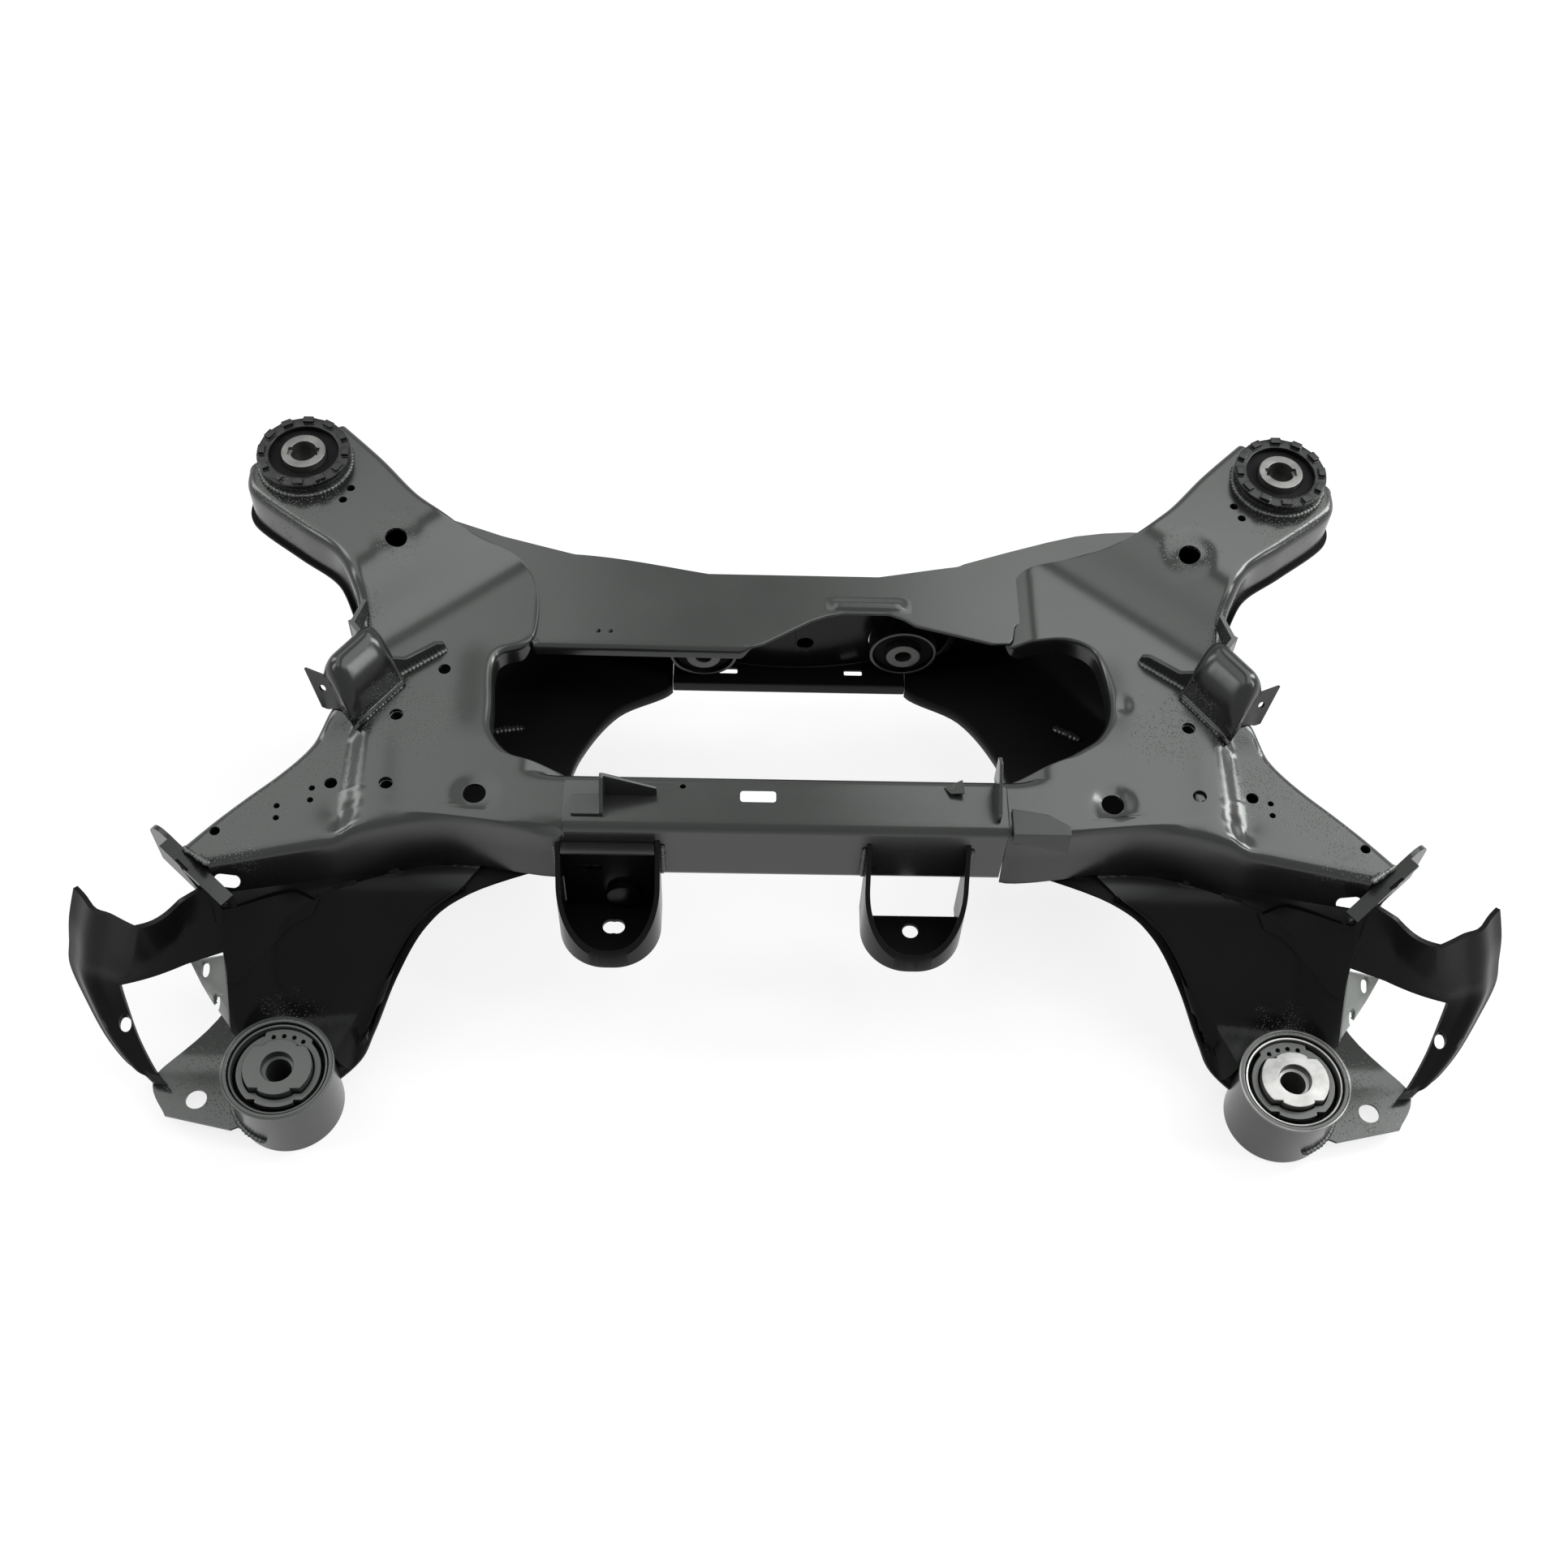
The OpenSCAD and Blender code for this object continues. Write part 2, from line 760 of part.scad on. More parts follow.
// Hangers in front of the near tube
module cup_plan(w, d, r) {
  intersection() {
    union() {
      translate([-w / 2, r])
        square([w, d]);
      translate([-w / 2 + r, 0])
        square([w - 2 * r, d]);
      for (x = [-w / 2 + r, w / 2 - r])
        translate([x, r])
          circle(r = r, $fn = 48);
    }
    translate([-w / 2, 0])
      square([w, d]);
  }
}

module hanger(xc, back) {
  top = deck_h - 20;
  translate([xc * sx, tube_y0 - gap - hanger_reach, 0])
    difference() {
      union() {
        translate([0, 0, hanger_z])
          linear_extrude(plate_t)
            cup_plan(hanger_w, hanger_reach - back, hanger_w * 0.46);
        translate([0, 0, hanger_z])
          linear_extrude(top - hanger_z)
            difference() {
              cup_plan(hanger_w, hanger_reach, hanger_w * 0.46);
              translate([0, plate_t])
                cup_plan(hanger_w - 2 * plate_t, hanger_reach, hanger_w * 0.46 - plate_t);
            }
      }
      translate([-hanger_w, 0, hanger_z + 16])
        rotate([atan2(top - hanger_z - 16, hanger_reach), 0, 0])
          translate([0, -60, 0])
            cube([2 * hanger_w, 300, 200]);
      for (x = [0, back > 0 ? 0 : 5])
        translate([x, 36, hanger_z - 10])
          cylinder(r = 6.5, h = 40, $fn = 40);
    }
}

module hanger_left() {
  color(black)
    hanger(-146, 0);
}

module hanger_right() {
  color(black)
    hanger(98, 10);
}

module hanger_back_plate() {
  w = hanger_w - 2 * plate_t - 2 * gap;
  z0 = hanger_z + plate_t + gap;
  color(black)
    translate([-146 * sx, tube_y0 - gap, 0])
      rotate([90, 0, 0])
        difference() {
          union() {
            translate([-w / 2, z0, 0])
              cube([w, deck_h - 28 - z0, 3]);
            translate([11, z0 + 20, 0])
              cylinder(r = 14, h = 8, $fn = 48);
          }
          for (x = [-18, -10])
            translate([x, deck_h - 57, -1])
              cylinder(r = 5, h = 12, $fn = 40);
        }
}

module hanger_strap() {
  w = hanger_w - 2 * plate_t - 2 * gap;
  color(black)
    translate([-146 * sx - w / 2, tube_y0 - gap - 9, deck_h - 28 + gap])
      cube([w, 9, 4]);
}

// Link saddles on the deck, in a frame that points out and toward the viewer
module saddle_frame() {
  translate([329 * sx, 286 * sy, deck_h + gap])
    rotate([0, 0, -36.87])
      children();
}

module arch(w, h) {
  translate([-w / 2, 0])
    square([w, h - w / 2]);
  intersection() {
    translate([0, h - w / 2])
      circle(r = w / 2, $fn = 64);
    translate([-w / 2, h - w / 2])
      square([w, w]);
  }
}

module saddle() {
  saddle_frame()
    difference() {
      union() {
        rotate([90, 0, 90])
          linear_extrude(46)
            arch(saddle_w, saddle_h);
        translate([42, 0, 0])
          cube([plate_t, saddle_w / 2 + 14, saddle_h * 0.55]);
      }
      translate([plate_t, 0, -plate_t])
        rotate([90, 0, 90])
          linear_extrude(46 - 2 * plate_t)
            arch(saddle_w - 2 * plate_t, saddle_h);
      translate([30, 4, saddle_h * 0.5])
        rotate([0, 90, 0])
          cylinder(r = 6.5, h = 30, $fn = 40);
      translate([30, saddle_w / 2 + 6, saddle_h * 0.3])
        rotate([0, 90, 0])
          cylinder(r = 3.5, h = 30, $fn = 32);
    }
}

module gusset() {
  saddle_frame()
    translate([-gap, -1, 0])
      rotate([90, 0, 0])
        linear_extrude(plate_t)
          polygon([[0, 0], [-52, 0], [-51, 6], [-44, 11], [-16, 12], [0, saddle_h * 0.6]]);
}

module earlet() {
  saddle_frame()
    translate([4, saddle_w / 2 + gap, 0]) {
      translate([0, 0, 8])
        cube([plate_t, 18, saddle_h * 0.6]);
      translate([plate_t - 1.5, 13.5, 0])
        rotate([0, 0, 148])
          rotate([90, 0, 0])
            linear_extrude(plate_t - 0.5)
              polygon([[0, 9], [25, 19.5], [25, saddle_h * 0.82], [0, saddle_h * 0.6 + 6]]);
    }
}

module saddle_left() {
  color(black)
    mirror([1, 0, 0])
      saddle();
}

module saddle_right() {
  color(black)
    saddle();
}

module gusset_left() {
  color(black)
    mirror([1, 0, 0])
      gusset();
}

module gusset_right() {
  color(black)
    gusset();
}

module earlet_left() {
  color(black)
    mirror([1, 0, 0])
      earlet();
}

module earlet_right() {
  color(black)
    earlet();
}

// Forks at the near corners, in a frame along the near end of the top skin
fork_z = deck_h - 200;

module fork_frame() {
  translate([470 * sx, 129 * sy, fork_z])
    rotate([0, 0, 38.5])
      children();
}

module fork_inner() {
  fork_frame() {
    translate([0, -gap - 0.4, 0])
      rotate([90, 0, 0])
        linear_extrude(plate_t)
          difference() {
            union() {
              polygon([[-50, 150], [-26, 142], [-19, 118], [34, 138], [35, 175], [20, 190], [14, 189], [-50, 166]]);
              translate([20, 175])
                circle(r = 15, $fn = 48);
            }
            translate([16, 162])
              circle(r = 7, $fn = 40);
          }
    translate([-50, -gap - 0.4, 166])
      rotate([0, -atan2(23, 64), 0])
        translate([0, -12, -plate_t])
          cube([66, 12, plate_t]);
  }
}

// Outer ear and strut of each fork, one pressing that runs down to the near seat
ear_out = [
  [549, 101, 170], [559, 94, 140], [566, 89, 110], [572, 83, 80],
  [562, 64, 55], [548, 43, 35], [530, 24, 22], [510, 6, 20.5]
];
ear_in = [
  [504, 74, 158], [517, 70, 120], [526, 67, 98], [531, 65, 82],
  [528, 53, 60], [521, 36, 40], [509, 17, 24], [497, 4, 20.5]
];

module fork_outer() {
  difference() {
    sheet([for (k = [0 : 21]) [for (j = [0 : 4])
      let (t = j / 4, bow = 14 * t * (1 - t) * smooth((7 - k / 3) / 3))
      lift(mixv(along(ear_out, k / 3), along(ear_in, k / 3), t) + [0, -bow, 0.4 * bow])]], plate_t);
    translate(lift([531, 43, 45]) - [0, 0, 30])
      cylinder(r = 5, h = 60, $fn = 32);
  }
}

// Web between the outer ear and the leg
web_out = [[499.3, 75.2, 156], [514.8, 72, 118], [528.6, 68.6, 84]];
web_in = [[455.2, 109.4, 162], [452, 97, 130], [449.4, 85.5, 101]];

module fork_web() {
  sheet([for (k = [0 : 4]) [for (j = [0 : 4])
    lift(mixv(along(web_out, k / 2), along(web_in, k / 2), j / 4))]], plate_t);
}

module fork_inner_left() {
  color(black)
    mirror([1, 0, 0])
      fork_inner();
}

module fork_inner_right() {
  color(black)
    fork_inner();
}

module fork_outer_left() {
  color(black)
    mirror([1, 0, 0])
      fork_outer();
}

module fork_outer_right() {
  color(black)
    fork_outer();
}

module fork_web_left() {
  color(black)
    mirror([1, 0, 0])
      fork_web();
}

module fork_web_right() {
  color(black)
    fork_web();
}

// Small brackets on the near tube and weld nuts under the deck
flag_y = (tube_d - 2 * tube_r) * 0.62;

module flag_bracket() {
  color(black)
    translate([-152 * sx, tube_y0 + tube_r, deck_h + gap]) {
      translate([0, flag_y + 3, 0])
        rotate([90, 0, 0])
          linear_extrude(3)
            polygon([[0, 0], [44, 0], [44, 9], [3, 26], [0, 26]]);
      rotate([90, 0, 90])
        linear_extrude(3)
          polygon([[0, 0], [flag_y + 3, 0], [flag_y + 3, 26], [flag_y - 2, 26], [0, 5]]);
      translate([-22, 0, 0])
        cube([23, 18, 3]);
    }
}

module slotted_bracket() {
  color(black)
    translate([157 * sx, tube_y0 + tube_r, deck_h + gap])
      rotate([90, 0, 90])
        linear_extrude(3)
          difference() {
            polygon([[0, 0], [tube_d - tube_r, 0], [tube_d - tube_r, 30], [tube_d - tube_r - 8, 34], [0, 12]]);
            translate([14, 6])
              square([tube_d - 2 * tube_r - 12, 3]);
          }
}

module overlap_tab() {
  color(black)
    translate([169 * sx, tube_y0 - 4, deck_h]) {
      translate([0, 0, gap])
        linear_extrude(3)
          polygon([[0, 0], [45, 0], [45, 8], [28, 19], [0, 24]]);
      translate([0, 3, 0])
        rotate([90, 0, 0])
          linear_extrude(3)
            polygon([[0, gap + 3], [0, -8], [45, -24], [45, gap + 3]]);
    }
}

module weld_nuts() {
  color(steel)
    for (m = [-1, 1])
      for (q = [[318, 246], [319, 180]])
        translate([m * q[0] * sx, q[1] * sy, deck_h - sheet_t - gap - 9.2])
          difference() {
            cylinder(r = 8, h = 9, $fn = 48);
            translate([0, 0, -1])
              cylinder(r = 5, h = 11, $fn = 40);
          }
}

near_crossmember();
far_top_panel();
far_rear_wall();
side_top_left();
side_top_right();
side_floor_left();
side_floor_right();
leg_left();
leg_right();
leg_cheek_left();
leg_cheek_right();
near_sleeve_left();
near_sleeve_right();
near_rubber_left();
near_rubber_right();
near_limiter_left();
near_limiter_right();
near_core_left();
near_core_right();
far_sleeve_left();
far_sleeve_right();
far_rubber_left();
far_rubber_right();
far_ring_left();
far_ring_right();
far_core_left();
far_core_right();
axle_sleeve_left();
axle_sleeve_right();
axle_rubber_left();
axle_rubber_right();
axle_core_left();
axle_core_right();
hanger_left();
hanger_right();
hanger_back_plate();
hanger_strap();
saddle_left();
saddle_right();
gusset_left();
gusset_right();
earlet_left();
earlet_right();
fork_inner_left();
fork_inner_right();
fork_outer_left();
fork_outer_right();
fork_web_left();
fork_web_right();
flag_bracket();
slotted_bracket();
overlap_tab();
weld_nuts();
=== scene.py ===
"""Rear suspension subframe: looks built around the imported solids. Metres; plan lists in millimetres."""
import math

import bpy
import numpy as np
from mathutils import Matrix, Vector


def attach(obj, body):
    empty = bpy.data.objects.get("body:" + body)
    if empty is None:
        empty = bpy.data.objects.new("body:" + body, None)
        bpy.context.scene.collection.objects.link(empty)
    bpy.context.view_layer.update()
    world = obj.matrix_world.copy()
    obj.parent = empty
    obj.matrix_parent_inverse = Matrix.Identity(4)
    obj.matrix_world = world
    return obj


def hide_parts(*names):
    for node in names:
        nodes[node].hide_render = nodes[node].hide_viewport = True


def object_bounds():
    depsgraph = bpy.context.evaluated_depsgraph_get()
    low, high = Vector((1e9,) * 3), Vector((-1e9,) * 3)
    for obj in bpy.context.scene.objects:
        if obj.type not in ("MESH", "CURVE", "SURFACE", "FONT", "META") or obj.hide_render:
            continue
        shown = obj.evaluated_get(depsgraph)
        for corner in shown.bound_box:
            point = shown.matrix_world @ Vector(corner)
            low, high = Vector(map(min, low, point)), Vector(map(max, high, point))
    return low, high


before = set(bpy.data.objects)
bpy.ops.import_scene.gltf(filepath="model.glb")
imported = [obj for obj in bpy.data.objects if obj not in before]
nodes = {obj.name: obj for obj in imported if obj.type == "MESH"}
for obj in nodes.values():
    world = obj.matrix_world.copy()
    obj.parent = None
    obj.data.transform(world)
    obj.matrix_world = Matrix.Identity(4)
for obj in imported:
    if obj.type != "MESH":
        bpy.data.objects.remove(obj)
cad_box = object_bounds()
MM = 0.001
SIDES = ((-1, "left"), (1, "right"))

# Sizes shared with the solids, in millimetres
DECK = 200.0
RISE = 38.0
ARM_DEPTH = 42.0
FLOOR = 80.0
SEAT = 16.0
TUBE_BOTTOM = 125.0
SHEET = 3.0
PLATE = 4.0
FOLD = 9.0
LIP = 6.0
FRONT_LIP = 9.0
SHELF_DROP = 10.0
GAP = 0.3
LEG_FOOT = 50.0
NEAR_X = 402
FAR_MOUNT = (414, 479)
ARM_HOLE = (330, 400)
DECK_HOLE = (250, 173)
AXLE_RIGHT = (99, 115)
WALL_HOLE = (13, 117)

# Edges of a side top, rib by rib from the far mount to the near corner
OUTER = [(462, 473), (456, 447), (414, 412), (380, 386), (362, 357), (357, 340), (355, 322), (357, 300),
         (364, 275), (373, 250), (385, 225), (395, 210), (410, 193), (430, 173), (450, 152), (470, 129)]
INNER_L = [(386, 524), (350, 487), (314, 446), (276, 419), (233, 408), (215, 372), (217, 324), (243, 308),
           (243, 264), (240, 232), (221, 210), (180.4, 194), (180.4, 144), (282, 150), (361, 131),
           (448, 111.5)]
INNER_R = [(386, 524), (350, 487), (314, 446), (276, 419), (204, 412), (177, 372), (178, 326), (226, 322),
           (252, 272), (240, 232), (212, 210), (167, 194), (167, 144), (282, 150), (361, 131),
           (448, 111.5)]
LAST_RIB = 15
FRONT_RIB = 12

# Finer rim of the right opening, and where its ribs start on the outer edge
RIM_R = [(177, 372), (176, 350), (179, 331), (200, 332.4), (226, 334.4), (248, 322), (256, 288), (255, 260),
         (245, 239), (228, 225), (210, 214), (188, 203), (167, 194)]
FAN_R = ((2.5, 4, 5, 6, 6.5, 6.75, 7, 7.25, 7.5, 8, 9),
         (2.5, 3.0, 3.25, 3.5, 3.65, 3.8, 4.2, 5.0, 6.0, 7.5, 9))

# Share of the rolled lip and depth of the flange at each rib
SHARE = [1, 1, 1, 0, 0, 0, 0, 1, 1, 1, 1, 1, 1, 1, 1, 1]
DEPTH = [80, 80, 80, 60, 2, 2, 14, 14, 14, 14, 14, 14, 70, 60, 46, 40]

# Edges of a lower skin, and the share of its turned-down rim
FLOOR_OUT = OUTER + [(455, 102), (448, 66), (506, 16), (494, -20)]
FLOOR_IN = [(386, 524), (350, 487), (314, 446), (276, 417), (224, 420), (107, 403), (103, 369), (150, 341),
            (180, 296), (190, 256), (188, 224), (174, 202), (174, 166), (262, 130), (296, 108), (321, 77),
            (339, 46), (354, 24), (400, -8), (448, -30)]
RIM = [0, 0, 0, 0, 0, 0, 1, 1, 1, 1, 1, 0, 0, 0, 0, 0, 0, 0, 0, 0]

# Rows of a leg: rib of the side top, foot in plan, and 1 where the foot stands on the lower skin
LEG = [(14.98, 447, 38, 0), (14.7, 435, 30, 0), (14.4, 424, 37, 0), (14.05, 410, 42, 0), (13.75, 394, 42, 0),
       (13.5, 376, 34, 0), (13.3, 363, 18, 0), (13.18, 352, 18, 1), (13.05, 339, 44, 1), (12.95, 323, 75, 1),
       (12.85, 298, 106, 1), (12.7, 266, 128, 1)]

# Pressed detail of the deck, in millimetres; the two sides differ
ARM_DISH = {-1: 0.7, 1: 2.4}
DECK_DISH = {-1: 1.6, 1: 3.0}
TUBE_END = {-1: 180.4, 1: 167}
RIM_HOLLOW = 2.2
RIDGE = 1.3
SHELF_DENT = 2.6
TUBE_ROUND = 9
LEG_HEM = 2.2

# Points across the pressings
DECK_POINTS = 44
FLOOR_POINTS = 18
EAR_POINTS = 16
WEB_POINTS = 16


def smooth(t):
    """Step from 0 to 1 with level ends."""
    c = np.clip(t, 0, 1)
    return c * c * (3 - 2 * c)


def soft(t):
    """Step from 0 to 1 whose ends have no curvature either."""
    c = np.clip(t, 0, 1)
    return c * c * c * (10 + c * (6 * c - 15))


def along(points, s):
    """Point at s on a smooth curve through the points."""
    p = np.asarray(points, float)
    n = len(p)
    i = max(0, min(n - 2, int(math.floor(s))))
    t = s - i
    a, b, c, d = p[max(0, i - 1)], p[i], p[i + 1], p[min(n - 1, i + 2)]
    square, cube = 2 * a - 5 * b + 4 * c - d, 3 * b - a - 3 * c + d
    return 0.5 * (2 * b + (c - a) * t + square * t * t + cube * t ** 3)


def straight(values, s):
    """Value at s on straight lines between the values."""
    v = np.asarray(values, float)
    i = max(0, min(len(v) - 2, int(math.floor(s))))
    return v[i] + (v[i + 1] - v[i]) * (s - i)


def arm_reach(u, v):
    """Distance out along the far arm."""
    return (u - 298) * 0.66 + (v - 364) * 0.75


def dish(u, v, centre, radius, depth, flat):
    """Round dish, level over the given share of its radius."""
    q = np.hypot(u - centre[0], v - centre[1]) / radius
    return -depth * (1 - smooth((q - flat) / (1 - flat)))


def z_deck(u, v, side=0):
    """Height of a side top; side 0 gives the plain deck without pressed detail."""
    arm = arm_reach(u, v)
    z = DECK - SHELF_DROP * smooth((u - 337) / 20) * smooth((252 - v) / 28)
    if not side:
        return z + RISE * smooth((arm + 14) / 54)
    z = z + RISE * soft((arm + 30) / 92)
    z = z + dish(u, v, ARM_HOLE, 26, ARM_DISH[side], 0.4)
    z = z + dish(u, v, DECK_HOLE, 19, DECK_DISH[side], 0.5)
    hollow = soft((284 - u) / 44) * soft((v - 212) / 46) * soft((338 - v) / 44)
    ridge = np.exp(-((u - 328 - 0.05 * (v - 200)) / 13.0) ** 2) * soft((262 - v) / 60) * soft((v - 138) / 34)
    dent = np.exp(-(((u - 354) / 15.0) ** 2 + ((v - 156) / 13.0) ** 2))
    z = z - RIM_HOLLOW * hollow + RIDGE * ridge - SHELF_DENT * dent
    over = np.clip(np.maximum(v - 185, 153 - v), 0, TUBE_ROUND)
    fall = TUBE_ROUND - np.sqrt(TUBE_ROUND ** 2 - over * over)
    z = z - fall * smooth((TUBE_END[side] + 36 - u) / 34)
    if side > 0:
        z = z + dish(u, v, (268, 268), 9, 2.0, 0.1)
    return z


def z_floor(u, v):
    """Height of a lower skin: high in the arm, level by the opening, low at the near seat."""
    run = 130 + 20 * smooth((450 - u) / 60)
    return (FLOOR + (DECK + RISE - ARM_DEPTH - FLOOR) * smooth((arm_reach(u, v) + 45) / 110)
            + (TUBE_BOTTOM - GAP - FLOOR) * smooth((262 - v) / 60)
            - (TUBE_BOTTOM - GAP - SEAT) * smooth((150 - v) / run))


def on_floor(q):
    return (*q, float(z_floor(*q)))


def inner_at(inner, s):
    """Inner edge of a side top; the right opening has its own finer rim."""
    if inner is INNER_R and 5 <= s <= 11:
        return along(RIM_R, 2 * (s - 5))
    return straight(inner, s) if 11 <= s <= FRONT_RIB else along(inner, s)


def lip_at(s):
    """Share of the rolled lip along the edge."""
    if s > FRONT_RIB:
        return 1.0
    if s >= 11:
        return 0.0
    if s > 10:
        return 1 - smooth((s - 10.3) / 0.7)
    return straight(SHARE, s) if s < 5 else smooth((s - 5.85) / 0.5)


def edge_frame(inner, s):
    """Outer and inner point of rib s, the way across, the lip's radius and the way the lip faces."""
    fanned = inner is INNER_R and 2.5 < s < 9
    start = along(OUTER, float(np.interp(s, *FAN_R)) if fanned else s)
    end = inner_at(inner, s)
    length = np.linalg.norm(end - start)
    across = (end - start) / length
    step = inner_at(inner, min(LAST_RIB, s + 0.04)) - inner_at(inner, max(0, s - 0.04))
    square = np.array([step[1], -step[0]]) / max(1e-6, np.linalg.norm(step))
    lip = LIP
    if inner is INNER_R and 5.5 < s < 8.2:
        lip = 2.6 + 3.4 * float(smooth((abs(s - 6.85) - 0.45) / 0.9))
    if s > FRONT_RIB:
        lip = min(FRONT_LIP / max(0.2, abs(float(across @ square))), 36, length - FOLD - 4)
    turn = float(smooth((s - 5.6) / 0.5) * smooth((10.2 - s) / 0.8))
    facing = across * (1 - turn) + square * turn
    return start, end, across, lip, facing / np.linalg.norm(facing)


def lip_foot(inner, s, side):
    """Height of the lower edge of the inner flange."""
    _, end, _, lip, facing = edge_frame(inner, s)
    z_top = float(z_deck(*(end - facing * lip), side))
    return max(float(z_floor(*end)) + GAP, z_top - LIP - straight(DEPTH, s))


def top_profile(inner, s, side):
    """Points across a side top: outer wall, fold, deck, rolled lip and flange."""
    start, end, across, lip, facing = edge_frame(inner, s)
    share = lip_at(s)
    fold_end, lip_start = start + across * FOLD, end - facing * lip
    z_fold = float(z_deck(*fold_end, side))
    z_wall = float(z_floor(*start)) + 1.5 * GAP
    rows = [(*start, z_wall + (z_fold - FOLD - z_wall) * k / 5) for k in range(5)]
    for a in np.radians(np.linspace(0, 90, 8)):
        q = start + across * FOLD * (1 - math.cos(a))
        rows.append((*q, z_fold - FOLD + FOLD * math.sin(a)))
    for k in range(1, DECK_POINTS + 1):
        q = fold_end + (lip_start - fold_end) * k / (DECK_POINTS + 1)
        rows.append((*q, float(z_deck(*q, side))))
    drop = FRONT_LIP if s > FRONT_RIB else LIP
    for a in np.radians(np.linspace(0, 90, 9)):
        q = end - facing * lip * (1 - math.sin(a))
        rows.append((*q, float(z_deck(*q, side)) - share * drop * (1 - math.cos(a))))
    z_lip = rows[-1][2]
    z_foot = share * min(lip_foot(inner, s, side), z_lip - 2) + (1 - share) * (z_lip - 0.2)
    for k in range(1, 6):
        q = end + across * (1 - share) * k / 5
        rows.append((*q, z_lip + (z_foot - z_lip) * k / 5))
    return rows


def floor_profile(s):
    """Points across a lower skin: outer flange, pan and turned-down rim."""
    start, rim = along(FLOOR_OUT, s), straight(RIM, s)
    end = straight(FLOOR_IN, s) if 5 <= s <= 6 else along(FLOOR_IN, s)
    length = np.linalg.norm(end - start)
    across = (end - start) / length
    rows = [on_floor(start + across * k) for k in (-4, 0, 5)]
    for k in range(1, FLOOR_POINTS + 1):
        rows.append(on_floor(start + across * (5 + (length - 10) * k / (FLOOR_POINTS + 1))))
    rows += [on_floor(end - across * k) for k in (5, 2)]
    z_end = float(z_floor(*end))
    for a in np.radians((20, 45, 70)):
        q = end - across * 2 + across * (2 + 4 * (1 - rim)) * math.sin(a)
        rows.append((*q, z_end - rim * 2.5 * (1 - math.cos(a))))
    q = end + across * 4 * (1 - rim)
    return rows + [(*q, z_end - 5 * rim), (*q, z_end - 12 * rim - 0.01)]


def leg_profile(k, side, count=30):
    """Points down a leg: a hollow curve from the front flange to the foot, with a hem along the foot."""
    row = along(LEG, k)
    inner = INNER_L if side < 0 else INNER_R
    low = lip_foot(inner, row[0], side)
    top = np.append(edge_frame(inner, row[0])[1], low)
    seated = min(1, max(0, straight(LEG, k)[3]))
    z_foot = LEG_FOOT + (float(z_floor(*row[1:3])) + SHEET + GAP - LEG_FOOT) * seated
    foot = np.append(row[1:3], min(z_foot, low - 8))
    fall = np.array([0, 0, top[2] - foot[2]])
    reach = np.array([top[0] - foot[0], top[1] - foot[1], 0])
    hollow = float(smooth(k / 3.5))
    pull_top = (top + (foot - top) / 3) * (1 - hollow) + (top - 0.6 * fall) * hollow
    pull_foot = (foot - (foot - top) / 3) * (1 - hollow) + (foot + 0.45 * reach) * hollow
    rows = []
    for t in np.linspace(0, 1, count):
        upper = (1 - t) ** 3 * top + 3 * t * (1 - t) ** 2 * pull_top
        p = upper + 3 * t * t * (1 - t) * pull_foot + t ** 3 * foot
        z0 = float(z_floor(p[0], p[1]))
        slope = (float(z_floor(p[0] + 1, p[1])) - z0, float(z_floor(p[0], p[1] + 1)) - z0, 1)
        clear = z0 + (SHEET + 0.6) * float(np.linalg.norm(slope))
        hem = LEG_HEM * float(smooth((t - 0.84) / 0.06) * smooth((k - 4) / 2))
        rows.append((p[0], p[1], hem + max(p[2], clear)))
    return rows


# Mesh helpers
def new_object(name, verts, faces, mat, angle):
    """Mesh object in metres, smooth where faces meet at less than the angle; 0 leaves it flat."""
    mesh = bpy.data.meshes.new(name)
    mesh.from_pydata([tuple(v) for v in verts], [], faces)
    mesh.validate()
    piece = bpy.data.objects.new(name, mesh)
    bpy.context.scene.collection.objects.link(piece)
    mesh.materials.append(mat)
    if angle:
        for p in mesh.polygons:
            p.use_smooth = True
        mesh.set_sharp_from_angle(angle=math.radians(angle))
    return piece


def metres(points):
    return [(x * MM, y * MM, z * MM) for x, y, z in points]


def flip(faces):
    return [q[::-1] for q in faces]


def loop_faces(loops, points, closed):
    """Faces between loops of points; the last loop meets the first if closed, or else both ends get caps."""
    faces = []
    for i in range(loops if closed else loops - 1):
        j = (i + 1) % loops
        for k in range(points):
            h = (k + 1) % points
            faces.append((i * points + k, i * points + h, j * points + h, j * points + k))
    if not closed:
        faces.append(tuple(range(points - 1, -1, -1)))
        faces.append(tuple((loops - 1) * points + k for k in range(points)))
    return faces


